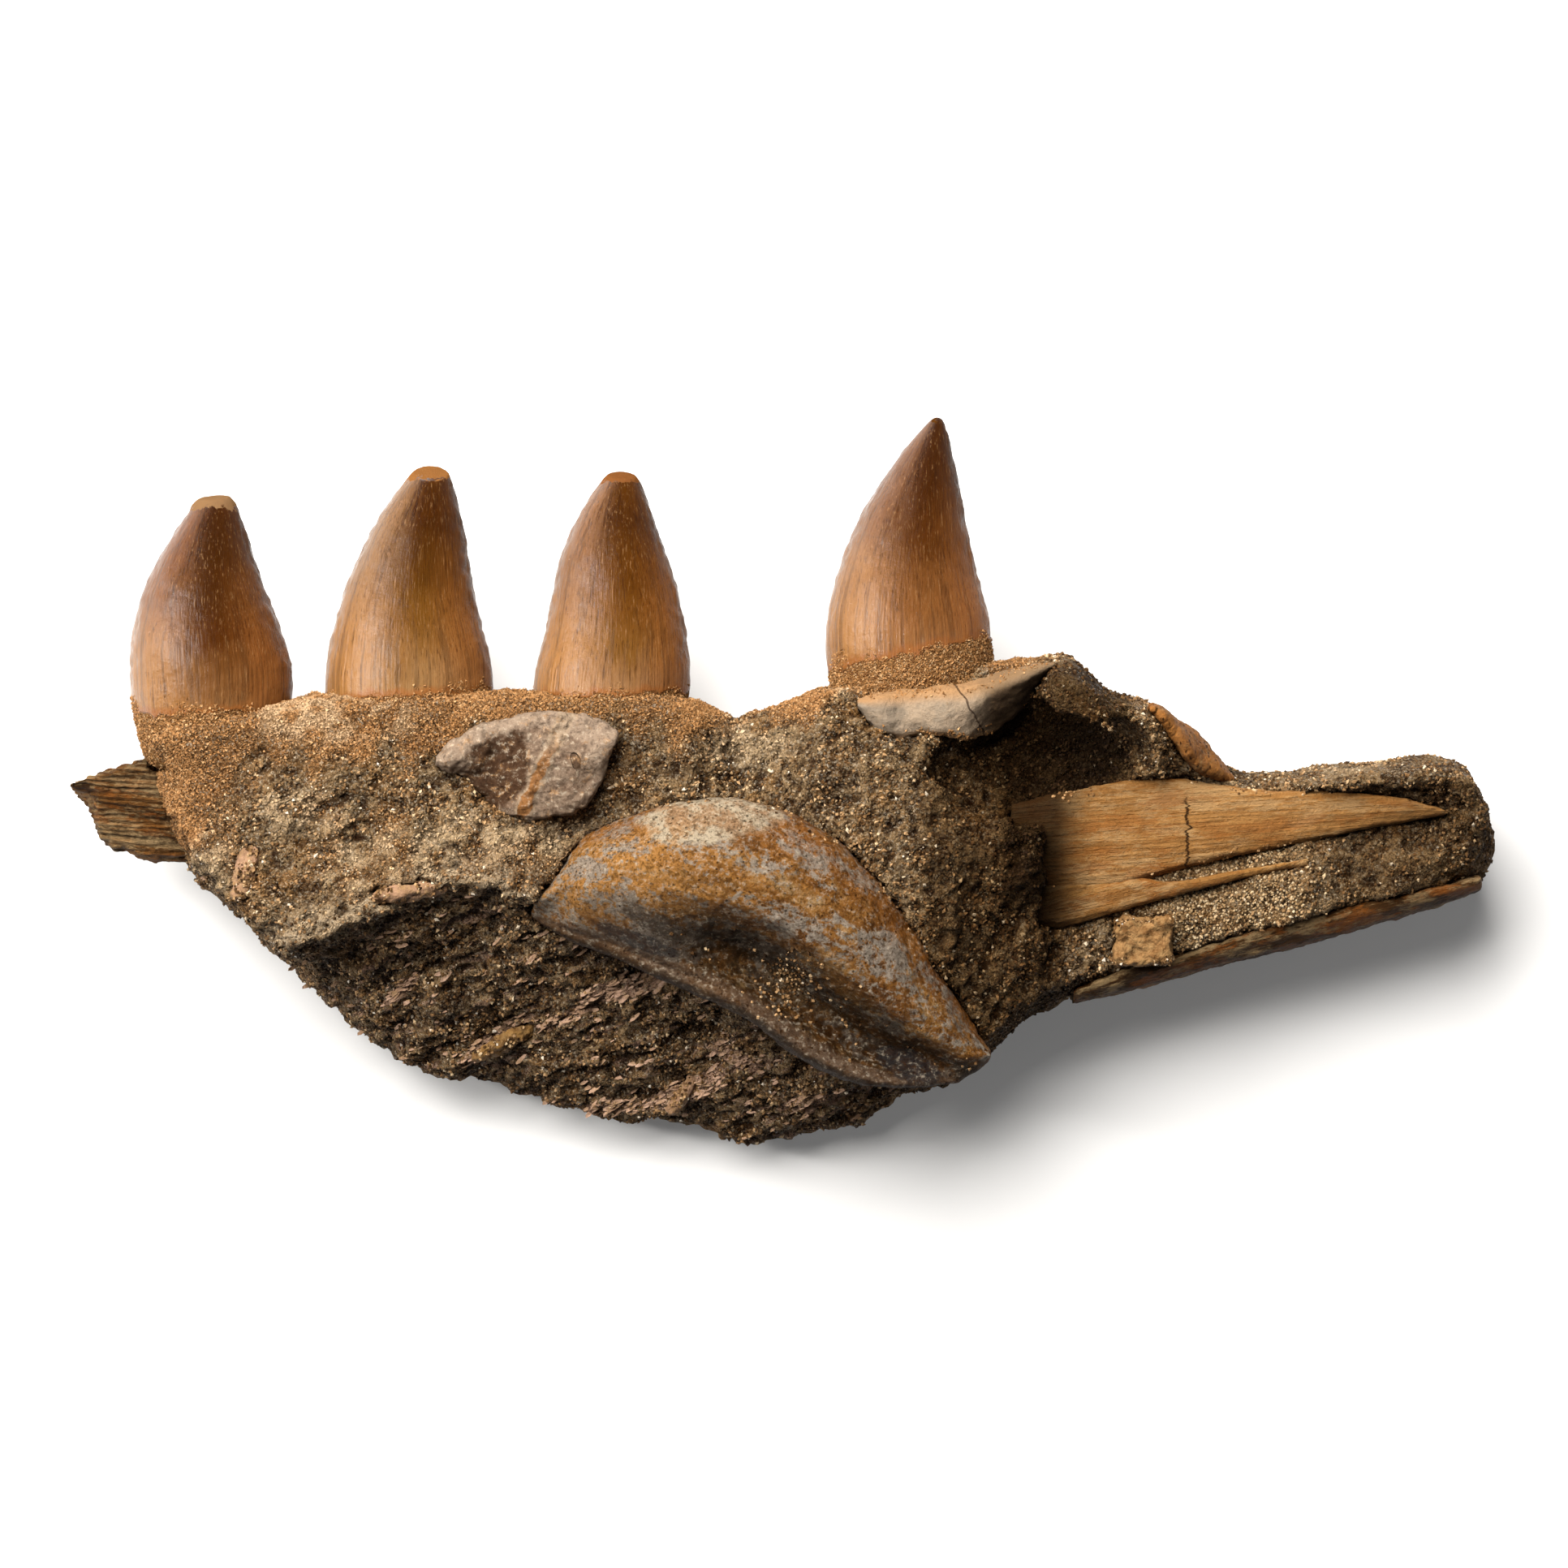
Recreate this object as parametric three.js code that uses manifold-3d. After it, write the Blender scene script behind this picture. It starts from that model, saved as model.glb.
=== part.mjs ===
// A fossil jaw fragment of a mosasaur in its block of phosphate sandstone: four teeth on their
// roots, the jaw bone, a large curved bone and broken pieces of bone, all set in the rock.
// Millimetres, +Z up. The fossil lies on its flat back, the jaw runs along X, the teeth point
// along +Y, and the side that was cleaned for show looks up. The origin is under the middle.
import * as THREE from "three";
import { ImprovedNoise } from "three/addons/math/ImprovedNoise.js";
import { mergeVertices } from "three/addons/utils/BufferGeometryUtils.js";
import Module from "manifold-3d";

const wasm = await Module();
wasm.setup();
const { clamp, lerp, smoothstep, degToRad } = THREE.MathUtils;

// Driving dimensions.
const POCKET_GAP = 0.4; // between a set piece and the rock or bone around it
const ROCK_LEFT = -110.6; // the rock's ends along the jaw
const ROCK_RIGHT = 123.3;
const TOOTH_AXIS_HEIGHT = 27; // of the tooth row above the back
const TOOTH_ROOT_DEPTH = 11; // below the gum line
const TOOTH_FLATNESS = 0.43; // half depth over width
const ROW_HEIGHT = 41; // of the rock's show side beside the teeth
const BROW_HEIGHT = 48.5; // at the brow above the lower face
const BONE_BROW_HEIGHT = 42; // at the brow where the curved bone covers it
const FOOT_HEIGHT = 43; // just under the brow
const ARM_HEIGHT = 31; // of the arm's rock under the jaw bone plate
const ARM_STEP = [43.4, 46]; // where the body drops to the arm
const HUMP_HEIGHT = 47.5;
const CAVITY_SIZE = [20, 11.2, 10.5]; // half sizes of the hollow under the hump
const CAVITY_CENTRE = [44, 4.2, 40.5];
const CAVITY_TURN = 4; // degrees, the hollow runs up to the right
const TOP_END_RADIUS = 5; // of the show side at the rock's two ends
const BACK_END_RADIUS = 11; // of the back there

// A smooth function through [position, value] pairs, level outside them.
function smooth(points) {
  const places = points.map((p) => p[0]);
  const values = points.map((p) => p[1]);
  const curve = new THREE.CubicInterpolant(places, values, 1);
  return (at) => curve.evaluate(clamp(at, places[0], places.at(-1)))[0];
}

// Repeatable roughness from -1 to 1, with lumps of a given size.
const perlin = new ImprovedNoise();
function lumps(x, y, z, size, layer = 0) {
  return 1.4 * perlin.noise(x / size + 17.3 * layer, y / size + 5.1, z / size + 9.7 * layer);
}

// A round hill, or a hollow where the height is negative, with a smooth foot.
function hill(x, y, [cx, cy], [rx, ry], height) {
  const away = Math.hypot((x - cx) / rx, (y - cy) / ry);
  return height * (1 - smoothstep(away, 0, 1));
}

// How far a rounded edge has risen at a distance inside it, from 0 at the edge to 1.
function rounded(distance, radius) {
  const left = 1 - clamp(distance / radius, 0, 1);
  return Math.sqrt(1 - left * left);
}

// A closed surface whose rings run from one pole to the other. place(ring, turn) gives a point
// from two shares, the second going once round.
function closedSurface(around, along, place) {
  const geometry = new THREE.SphereGeometry(1, around, along);
  const position = geometry.getAttribute("position");
  const uv = geometry.getAttribute("uv");
  for (let i = 0; i < position.count; i++) {
    const ring = Math.round((1 - uv.getY(i)) * along) / along;
    const pole = ring === 0 || ring === 1;
    const turn = pole ? 0 : (Math.round(uv.getX(i) * around) % around) / around;
    position.setXYZ(i, ...place(ring, turn, pole));
  }
  geometry.deleteAttribute("normal");
  geometry.deleteAttribute("uv");
  return mergeVertices(geometry, 1e-4);
}

// Outline of the rock as seen from the show side: the far edge carries the teeth.
const farEdge = smooth([
  [-110.6, 7.8], [-107.9, 10.4], [-101.6, 12.3], [-93.2, 13.4], [-86.9, 14.2], [-82, 15.5],
  [-76.4, 16.3], [-51.2, 16.5], [-45.6, 16], [-37.2, 16.5], [-23.2, 16.5], [-16.9, 15.6],
  [-13.7, 13.2], [-8.5, 10.9], [-3.6, 12.8], [2, 14.5], [6.2, 16.7], [18.8, 19], [30, 20.4],
  [37.2, 21.8], [44.7, 21.5], [48.4, 21.9], [50.4, 20.4], [52.6, 17], [58.7, 15.7], [64.3, 12.9],
  [69.2, 9.2], [73.4, 4.9], [76.2, 2.2], [83.2, 1.5], [88.8, 1.9], [94.4, 3], [102.8, 3.6],
  [109.1, 4.6], [114.7, 4.1], [117.9, 2.5], [120.3, -1.8], [122.4, -6.7], [123.3, -10.7],
]);
const nearEdge = smooth([
  [-110.6, 5.3], [-108.6, 0.4], [-106.1, -6.7], [-104.2, -13], [-98.6, -19.1], [-93.2, -23.2],
  [-86.9, -30.2], [-79.2, -38.2], [-70.8, -45.2], [-64.5, -49.4], [-58.9, -51.2], [-51.2, -51.6],
  [-44.2, -54.4], [-37.2, -56.1], [-28.1, -58.9], [-20.4, -58.6], [-14.8, -60], [-3.6, -62.9],
  [4.8, -61.4], [11.1, -59.7], [17.4, -55.7], [24.4, -52.9], [31.4, -50.8], [34.9, -47.3],
  [36.3, -44.5], [39.5, -41.4], [46.8, -38.4], [60.8, -34.8], [74.8, -30.8], [88.8, -27.4],
  [102.8, -23.4], [114, -20.1], [119.8, -17.8], [122.1, -15], [123.3, -12],
]);
// The brow, where the show side breaks off to the lower face.
const browLine = smooth([
  [-110.6, 5.9], [-106, -2], [-98, -15], [-92, -22], [-86.9, -27.6], [-75, -24.2], [-68, -21.4],
  [-56.8, -17.2], [-48.4, -16.9], [-38.6, -22.2], [-28.8, -23], [-12, -26.5], [4.8, -36],
  [18.8, -43], [30, -46], [36, -42], [40, -38.5], [46, -34.5], [60.8, -30.2], [74.8, -26.2],
  [88.8, -22.6], [102.8, -19.2], [114, -16.6], [119.8, -14.5], [123.3, -11.7],
]);
const farRadius = smooth([[-110.6, 3.6], [-8, 3.8], [8, 5], [60, 6], [90, 4]]);
const farEdgeHeight = smooth([
  [-110.6, 22], [-80, 27], [35, 27], [60, 26], [80, 20], [123.3, 18],
]);
const nearEdgeHeight = smooth([
  [-110.6, 22], [-98, 15], [-60, 11], [0, 9], [30, 11], [45, 15], [80, 15], [123.3, 18],
]);
const browHeight = smooth([
  [-110.6, 27], [-104, 34], [-95, 41], [-86, 45], [-75, 48], [-60, BROW_HEIGHT],
  [-46, BROW_HEIGHT - 1], [-34, BONE_BROW_HEIGHT], [20, BONE_BROW_HEIGHT - 1], [32, 40], [44, 35],
  [60, 30], [110, 29], [123.3, 22],
]);
const footHeight = smooth([
  [-110.6, 25], [-104, 30], [-95, 36], [-86, 38.5], [-75, 41], [-60, FOOT_HEIGHT],
  [-46, FOOT_HEIGHT], [-34, 37.5], [20, 35], [32, 33], [44, 29], [60, 27.5], [110, 26], [123.3, 21],
]);

// The show side above the brow: a swell in the body, a step down to the arm, the hump over the
// hollow, and a rim along the arm's far edge.
function plateau(x, y) {
  const brow = browLine(x);
  const across = clamp((y - brow) / (farEdge(x) - brow), 0, 1);
  const body = lerp(browHeight(x), ROW_HEIGHT, smoothstep(across, 0, 1));
  const armShare = smoothstep(x, ...ARM_STEP);
  const rim = 6 * smoothstep(y, farEdge(x) - 7, farEdge(x) - 3);
  const hump = smoothstep(y, -1.5, 3.5) * (1 - smoothstep(x, 56, 75));
  const arm = lerp(ARM_HEIGHT + rim * smoothstep(x, 68, 80), HUMP_HEIGHT, hump);
  return (
    lerp(body, lerp(arm, browHeight(x), 1 - smoothstep(y - brow, 0, 5)), armShare) +
    hill(x, y, [-72, -6], [13, 8], -4) +
    hill(x, y, [-60, -13], [12, 6], -2.5) +
    hill(x, y, [-86, -8], [9, 8], 2.5) +
    hill(x, y, [-50, 1], [14, 9], -2) +
    hill(x, y, [-18, 2], [10, 9], 3) +
    hill(x, y, [-7, 5], [8, 12], -4.5) +
    hill(x, y, [6, 6], [10, 10], 3) +
    hill(x, y, [18, -12], [26, 30], 8) +
    hill(x, y, [40, -12], [9, 18], 4) +
    hill(x, y, [47, 19], [8, 8], 3.5)
  );
}

// The lower face: from the foot of the brow down to the near edge, in rough layers.
function lowerFace(x, y) {
  const brow = browLine(x);
  const down = clamp((brow - y) / (brow - nearEdge(x)), 0, 1);
  const deep = smoothstep(x, -100, -70) * (1 - smoothstep(x, 20, 38));
  const layer = 1.6 * deep * Math.sin(0.75 * (y - 0.45 * x) + 1.2 * lumps(x, y, 0, 14, 3));
  const along = lerp(footHeight(x), nearEdgeHeight(x) + 4, Math.pow(down, 0.95));
  return along + layer * smoothstep(down, 0, 0.15);
}

// Places across one section of the rock: the lower face, the show side, then under the back.
const FACE_SHARES = [0, 0.05, 0.15, 0.32, 0.5, 0.67, 0.84];
const SHOW_SHARES = [0, 0.12, 0.25, 0.38, 0.51, 0.63, 0.75, 0.86, 0.93, 0.98];
const BACK_SHARES = [0, 0.07, 0.2, 0.45, 0.75, 0.93];
const NEAR_RADIUS = 5;
const BROW_WIDTH = 1.3;

function rockSection(x) {
  const [near, far, brow] = [nearEdge(x), farEdge(x), browLine(x)];
  const width = far - near;
  const foot = Math.max(near + 0.2 * (brow - near), brow - BROW_WIDTH);
  const edgeAt = (y) => lerp(nearEdgeHeight(x), farEdgeHeight(x), clamp((y - near) / width, 0, 1));
  const toEnd = Math.min(x - ROCK_LEFT, ROCK_RIGHT - x);
  const topEnd = rounded(toEnd, TOP_END_RADIUS);
  const backEnd = rounded(toEnd, BACK_END_RADIUS);
  const rise = (y) => topEnd * rounded(y - near, NEAR_RADIUS) * rounded(far - y, farRadius(x));
  const face = FACE_SHARES.map((t) => lerp(near, foot, t));
  const show = SHOW_SHARES.map((t) => lerp(brow, far, t));
  const top = (y, height) => [y, lerp(edgeAt(y), height, rise(y))];
  const farUnder = Math.min(15, 0.45 * width);
  const nearUnder = Math.min(9, 0.3 * width);
  const lift = (y) =>
    edgeAt(y) * (1 - backEnd * rounded(far - y, farUnder) * rounded(y - near, nearUnder));
  return [
    ...face.map((y) => top(y, lowerFace(x, y))),
    top(foot, footHeight(x)),
    ...show.map((y) => top(y, plateau(x, y))),
    ...BACK_SHARES.map((t) => lerp(far, near, t)).map((y) => [y, lift(y)]),
  ];
}

// The rock before its pieces are set in it.
const ROCK_STATIONS = 50;
const EVEN_STATIONS = ROCK_STATIONS - 1 - ARM_STEP.length;
const FLAT_BACK = 0.05; // below this height a point lies on the flat back
function rockGeometry() {
  const around = FACE_SHARES.length + 1 + SHOW_SHARES.length + BACK_SHARES.length;
  const even = Array.from({ length: EVEN_STATIONS }, (_, i) => {
    const t = i / (EVEN_STATIONS - 1);
    return lerp(ROCK_LEFT, ROCK_RIGHT, t - 0.07 * Math.sin(2 * Math.PI * t));
  });
  const places = [ROCK_LEFT, ...even, ...ARM_STEP, ROCK_RIGHT].sort((a, b) => a - b);
  const sections = places.map((x) => ({ x, ring: rockSection(x) }));
  return closedSurface(around, ROCK_STATIONS, (ring, turn, pole) => {
    const { x, ring: points } = sections[Math.round(ring * ROCK_STATIONS)];
    if (pole) {
      const middle = points.reduce((sum, [y, z]) => [sum[0] + y, sum[1] + z], [0, 0]);
      return [x, middle[0] / points.length, middle[1] / points.length];
    }
    const [y, z] = points[Math.round(turn * around)];
    if (z < FLAT_BACK) return [x, y, 0];
    const sandy = smoothstep(y, 3, 10) * (1 - smoothstep(x, -20, -5));
    const rough = smoothstep(z, 0, 6) * (1 - 0.6 * sandy);
    const push = rough * (1.7 * lumps(x, y, z, 13) + 1.2 * lumps(x, y, z, 5.5, 1));
    return [x, y + 0.6 * rough * lumps(x, y, z, 7, 2), Math.max(z + push, 0.3)];
  });
}

// A tooth on its root, standing along +Y from its gum line. The edges are its outline as seen
// from the show side, and the section between them is an oval with a keel on either side.
const TOOTH_AROUND = 16;
const TOOTH_RINGS = 12;
const ROOT_RINGS = 2;
const KEEL = 0.05;
function toothGeometry({ left, right, height, lean, tipTilt }) {
  const leftEdge = smooth([[-TOOTH_ROOT_DEPTH, left[0][1] * 0.78], [-3, left[0][1] * 0.94], ...left]);
  const rightEdge = smooth([[-TOOTH_ROOT_DEPTH, right[0][1] * 0.78], [-3, right[0][1] * 0.94], ...right]);
  return closedSurface(TOOTH_AROUND, TOOTH_RINGS, (ring, turn, pole) => {
    const step = Math.round(ring * TOOTH_RINGS) - 1 - ROOT_RINGS;
    const t = clamp(step / (TOOTH_RINGS - 2 - ROOT_RINGS), 0, 1);
    const end = ring < 0.5 ? -1 : 1;
    const root = Math.min(-step / ROOT_RINGS, 1) * TOOTH_ROOT_DEPTH;
    const up = step < 0 ? -root : height * Math.pow(t, 0.9);
    const middle = (leftEdge(up) + rightEdge(up)) / 2;
    const half = (rightEdge(up) - leftEdge(up)) / 2;
    const bow = lean * Math.pow(clamp(up / height, 0, 1), 1.6);
    if (pole) return [middle, up + end * 0.5, bow];
    const angle = 2 * Math.PI * turn;
    const keel = 1 + KEEL * Math.pow(Math.abs(Math.cos(angle)), 12);
    const out = Math.cos(angle) * half * keel / (1 + KEEL);
    const depth = Math.sin(angle) * (2 * half * TOOTH_FLATNESS);
    const worn = tipTilt * depth * smoothstep(t, 0.9, 1);
    return [middle + out, up - worn, bow + depth];
  });
}

const TEETH = [
  {
    name: "tooth_1", gum: [-98.7, 13.6], height: 36.1, lean: 3.5, tipTilt: 0.15,
    left: [[0, -14.1], [5.6, -14.4], [11.2, -14.1], [18.2, -12.5], [25.2, -9.2], [32.2, -4.6], [36.1, -1.8]],
    right: [[0, 14.1], [5.6, 14.3], [11.2, 12.9], [18.2, 10.1], [25.2, 7.6], [32.2, 5.3], [36.1, 3.8]],
  },
  {
    name: "tooth_2", gum: [-64.7, 15], height: 39.5, lean: 4.5, tipTilt: 0.38,
    left: [[0, -15], [8.4, -14], [16.8, -11.8], [23.8, -9], [29.4, -6.2], [35, -2.2], [39.5, 1.1]],
    right: [[0, 15.1], [8.4, 13.9], [16.8, 11.5], [23.8, 10.5], [29.4, 9.5], [35, 8.1], [39.5, 6.9]],
  },
  {
    name: "tooth_3", gum: [-29.7, 15.6], height: 38.1, lean: 3, tipTilt: 0.12,
    left: [[0, -14.3], [9.2, -12], [16.2, -10.6], [23.2, -9], [28.8, -6.9], [34.4, -3.4], [38.1, -0.6]],
    right: [[0, 13.7], [9.2, 13.2], [16.2, 11.8], [23.2, 9.9], [28.8, 7.6], [34.4, 5.7], [38.1, 4.1]],
  },
  {
    name: "tooth_4", gum: [21.6, 19.2], height: 43.4, lean: 5, tipTilt: 0.2,
    left: [[0, -14.4], [4.2, -15], [11.2, -14.3], [18.2, -12.3], [25.2, -9.5], [30.8, -6.3], [35.7, -2.8], [39.9, 0.1], [43.4, 3.6]],
    right: [[0, 14.8], [4.2, 14.7], [11.2, 13.6], [18.2, 11.5], [25.2, 9.9], [30.8, 8.8], [35.7, 7.7], [39.9, 6.7], [43.4, 5.7]],
  },
];

// A slab of bone along its own x axis, between a near and a far edge line. top and under give its
// two sides from the distance along it and the share across it, -1 at the near edge.
function slabGeometry({ near, far, top, under, rows, columns }) {
  const [first, last] = [near[0][0], near.at(-1)[0]];
  const nearLine = smooth(near);
  const farLine = smooth(far);
  const [topRows, underRows] = rows;
  return closedSurface(topRows + underRows, columns, (ring, turn, pole) => {
    const x = lerp(first, last, clamp((ring * columns - 1) / (columns - 2), 0, 1));
    const step = Math.round(turn * (topRows + underRows));
    const side = step <= topRows ? step / topRows : 1 + (step - topRows) / underRows;
    const across = pole ? 0 : -Math.cos(Math.PI * side);
    const y = lerp(nearLine(x), farLine(x), (across + 1) / 2);
    const [high, low] = [top(x, across), under(x, across)];
    if (pole || step === 0 || step === topRows) return [x, y, (high + low) / 2];
    return [x, y, step < topRows ? high : low];
  });
}

// The large curved bone: thick along its far side, with a trough and a lip along its near side.
const CURVED_BONE = {
  near: [
    [-0.6, 0.7], [3.9, -0.8], [13.6, -1.2], [26.7, -2.6], [36, -3.2], [40.7, -3.9], [46.5, -6],
    [54.9, -8], [64.4, -7.8], [72.9, -4.6], [78.6, -1.5], [81.2, 2.6],
  ],
  far: [
    [-0.6, 4.5], [1.5, 12.8], [7.6, 20.6], [18.4, 28.2], [26, 31.2], [35, 31.8], [43.4, 30.4],
    [53, 26], [60, 21.3], [65.6, 16.6], [76.5, 8.2], [81.2, 4.4],
  ],
  rows: [14, 3],
  columns: 21,
  top(at, across) {
    const crest = smooth([[0, 45], [10, 52], [24, 57], [38, 57.5], [52, 55], [68, 49.5], [81, 43]])(at);
    const trough = smoothstep(at, 4, 34) * (1 - smoothstep(at, 62, 80));
    const shoulder = 8 * Math.pow(Math.max(across, 0), 2.6);
    const drop = smooth([[0, 4], [10, 9], [22, 13], [45, 12], [62, 8], [81, 3]])(at);
    const fall = drop * smoothstep(-across, -0.2, 1.05);
    const hollow = 7.5 * trough * Math.exp(-Math.pow((across + 0.44) / 0.27, 2));
    const lip = 3.4 * trough * Math.exp(-Math.pow((across + 0.88) / 0.14, 2));
    return crest - shoulder - fall - hollow + lip;
  },
  under(at, across) {
    return lerp(34, 41, Math.max(across, 0)) - 3 * smoothstep(at, 40, 80);
  },
};

// The fibrous plate of the jaw bone that lies along the arm and runs in under the hump.
const JAW_PLATE = {
  near: [
    [39, -14], [42, -18.6], [45.4, -20.4], [52.3, -18.9], [61, -16.9], [66.3, -15.2],
    [74.8, -12.9], [83.2, -11.3], [94.3, -8.8], [102.8, -7.1], [114, -5],
  ],
  far: [
    [39, -3], [45.4, -1.2], [53.8, 0.2], [60.8, 1.5], [66.4, 1.9], [71.3, 0.8], [74.8, 0.2],
    [83.2, -0.6], [97.2, -1], [105.6, -2], [111.2, -3.1], [114, -4.3],
  ],
  rows: [6, 3],
  columns: 14,
  top: (at, across) => 34.6 + 1.2 * across - 0.6 * across * across - 0.012 * (at - 40),
  under: (at, across) => 30.8 + 1.2 * across - 0.012 * (at - 40),
};

// A lower layer of the plate along its near edge, which ends in a long splinter.
const PLATE_SPLINTER = {
  near: [[42, -24], [46, -24.8], [53, -23.2], [60, -21], [66, -19.4], [74.8, -17], [83.2, -15.2], [90, -14]],
  far: [[42, -16], [53, -16], [62, -15.6], [66, -16.6], [74.8, -15], [83.2, -13.6], [90, -12.4]],
  rows: [4, 2],
  columns: 12,
  top: (at, across) =>
    33.8 + 0.5 * across - 0.3 * across * across - 0.02 * (at - 50) - 1.6 * smoothstep(at, 76, 90),
  under: (at, across) => 29.8 + 0.6 * Math.abs(across),
};

// The edge of a second jaw bone that closes the arm's near side.
const JAW_STRIP = {
  near: [
    [50, -37.9], [60.8, -35.6], [74.8, -31.6], [88.8, -28.2], [102.8, -24.2], [114, -20.9],
    [120.4, -18.4],
  ],
  far: [
    [50, -35], [53.8, -33.6], [57.3, -31.4], [66.4, -29], [74.8, -26.2], [83.2, -23.5],
    [88.8, -22], [102.8, -19], [111.2, -17.2], [120.4, -15.2],
  ],
  rows: [4, 3],
  columns: 11,
  top: (at, across) => 29.8 - 1.2 * across * across - 2.6 * smoothstep(-across, -0.6, 0.9),
  under: (at, across) => 12.4 + 1.6 * across * across,
};

// The splinter of jaw bone that stands out at the left end, seen on its fibrous inner side.
const LEFT_SPLINTER = {
  near: [
    [-123.3, -1.2], [-120.5, -4.5], [-119.3, -7.4], [-118.6, -10.4], [-115.6, -11.4],
    [-113.5, -11.8], [-111.4, -13.2], [-103, -13.2],
  ],
  far: [[-123.3, 0.3], [-121.2, 1.3], [-115.6, 3.3], [-110, 5], [-103, 6]],
  rows: [6, 3],
  columns: 11,
  top: (at, across) => 23 + 3.6 * across + 0.08 * (at + 113),
  under: (at, across) => 18.4 + 3.4 * across + 0.02 * (at + 113),
};

// The pale bone around the fourth tooth's socket, along the edge of the hollow.
const SOCKET_BONE = {
  near: [
    [12.5, 13.2], [13.4, 11.6], [16, 8.8], [20.2, 7.8], [25.8, 8.8], [31.4, 7.4], [37, 9.5],
    [41.2, 13.6], [44.7, 17.8], [46.3, 19.6],
  ],
  far: [[12.5, 14.8], [17.4, 16.2], [24.4, 16.9], [30, 17.4], [35.6, 19], [41.2, 20.6], [46.3, 21.2]],
  rows: [5, 3],
  columns: 11,
  top(at, across) {
    const intoHollow = 5 * smoothstep(at, 29, 36) * smoothstep(-across, -0.5, 0.9);
    return 43.8 + 0.06 * (at - 30) - 1.8 * across * across + 0.7 * Math.sin(0.5 * at) - intoHollow;
  },
  under: (at, across) =>
    37.6 - 2.5 * smoothstep(at, 28, 36) * (1 - smoothstep(at, 38, 45)) - 1.2 * across,
};

// The porous bone that closes the arm's shoulder along its far edge.
const SHOULDER_BONE = {
  near: [
    [62.6, 13.1], [64.1, 12], [66.3, 8.7], [68, 6.1], [69.8, 3.8], [71.2, 2.7], [73.7, 1.8],
    [76.8, 0.9],
  ],
  far: [
    [62.6, 13.8], [64.1, 13.3], [67.3, 10.8], [69.5, 9.5], [72.3, 7.5], [73.7, 5.4], [75.6, 2.8],
    [76.8, 1.5],
  ],
  rows: [6, 3],
  columns: 9,
  top(at, across) {
    const crest = smooth([[62.6, 41.5], [68, 39.2], [72, 36.6], [76.8, 32.5]])(at);
    const ripple = 0.7 * Math.sin(1.3 * at) * (1 - across * across);
    return crest + ripple - 6 * Math.pow(Math.max((across + 0.4) / 1.4, 0), 2);
  },
  under: (at, across) => lerp(35, 27, smoothstep(at, 62.6, 67)) + 2 * Math.abs(across),
};

// The broken grey bone between the second and third teeth, with a scoop and a groove.
const GREY_BONE = {
  near: [
    [-59.2, 3.1], [-57.5, 2], [-53.6, 1], [-52.4, -1], [-49.8, -3.4], [-46.3, -5.1], [-43.5, -6],
    [-38.6, -5.4], [-34.4, -4.6], [-31.9, -1.5], [-30, 3.1], [-28.5, 7.6],
  ],
  far: [
    [-59.2, 5], [-56.8, 7.3], [-54, 9.2], [-48.4, 11.4], [-40, 12.5], [-34.4, 12], [-30.2, 11],
    [-28.5, 9.4],
  ],
  rows: [9, 3],
  columns: 14,
  top(at, across) {
    const inRim = 1 - smoothstep(across, 0.3, 0.75);
    const scoop = 3 * inRim * Math.exp(-Math.pow((at + 48.6 - 2.5 * across) / 4.4, 2));
    const ridge = 1.1 * Math.exp(-Math.pow((at + 42.4 - 3 * across) / 1.6, 2));
    return 46.8 - 0.4 * across - 2.4 * across * across - scoop + ridge;
  },
  under: (at, across) => 41 - 1.4 * across,
};

// A broken shard of bone, rough all over, from its half sizes; square is 1 for a true block.
function shardGeometry([sx, sy, sz], { detail, square, layer }) {
  const geometry =
    square === 1 ? new THREE.BoxGeometry(1.9, 1.9, 1.9, 3, 2, 2) : new THREE.IcosahedronGeometry(1, detail);
  const position = geometry.getAttribute("position");
  for (let i = 0; i < position.count; i++) {
    const [x, y, z] = [position.getX(i), position.getY(i), position.getZ(i)];
    const chipped = 1 + 0.2 * (1.2 - square) * lumps(x, y, z, 0.7, layer);
    const squared = square === 1 ? 1 : 1 / Math.pow(x ** 8 + y ** 8 + z ** 8, square / 8);
    const out = chipped * squared;
    position.setXYZ(i, x * sx * out, y * sy * out, z * sz * out);
  }
  geometry.deleteAttribute("normal");
  geometry.deleteAttribute("uv");
  return mergeVertices(geometry, 1e-4);
}

// Shards in the rock: half sizes, centre and turns about X, Y and Z in degrees.
const SHARDS = [
  { name: "small_bone_block", size: [5.1, 3.9, 3.2], at: [61.8, -26.6, 31.4], turn: [7, -6, 4], square: 1 },
  { name: "bone_chip_1", size: [6.4, 1.3, 1.8], at: [-63.5, -18.2, 46], turn: [-30, 0, 9] },
  { name: "bone_chip_2", size: [7.6, 1.1, 1.8], at: [-47.6, -44.2, 21.6], turn: [-40, 0, 32] },
  { name: "bone_chip_3", size: [4.8, 2, 1.6], at: [-91.6, -14.6, 41.6], turn: [-10, -22, 76] },
  { name: "bone_chip_4", size: [6.6, 1.2, 1.8], at: [-16.4, -52.4, 18], turn: [-36, 0, 58] },
];

// Finishes.
const finish = (colour, roughness) =>
  new THREE.MeshStandardMaterial({ color: colour, roughness, metalness: 0 });
const SANDSTONE = finish(0x8a7352, 0.95);
const ENAMEL = finish(0x8b5f3c, 0.3);
const STAINED_BONE = finish(0x9a7a4c, 0.7);
const FIBROUS_BONE = finish(0xb08a58, 0.75);
const GREY_BONE_FINISH = finish(0x9c8d7f, 0.65);
const CHIP_BONE = finish(0xb99a82, 0.7);

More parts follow.
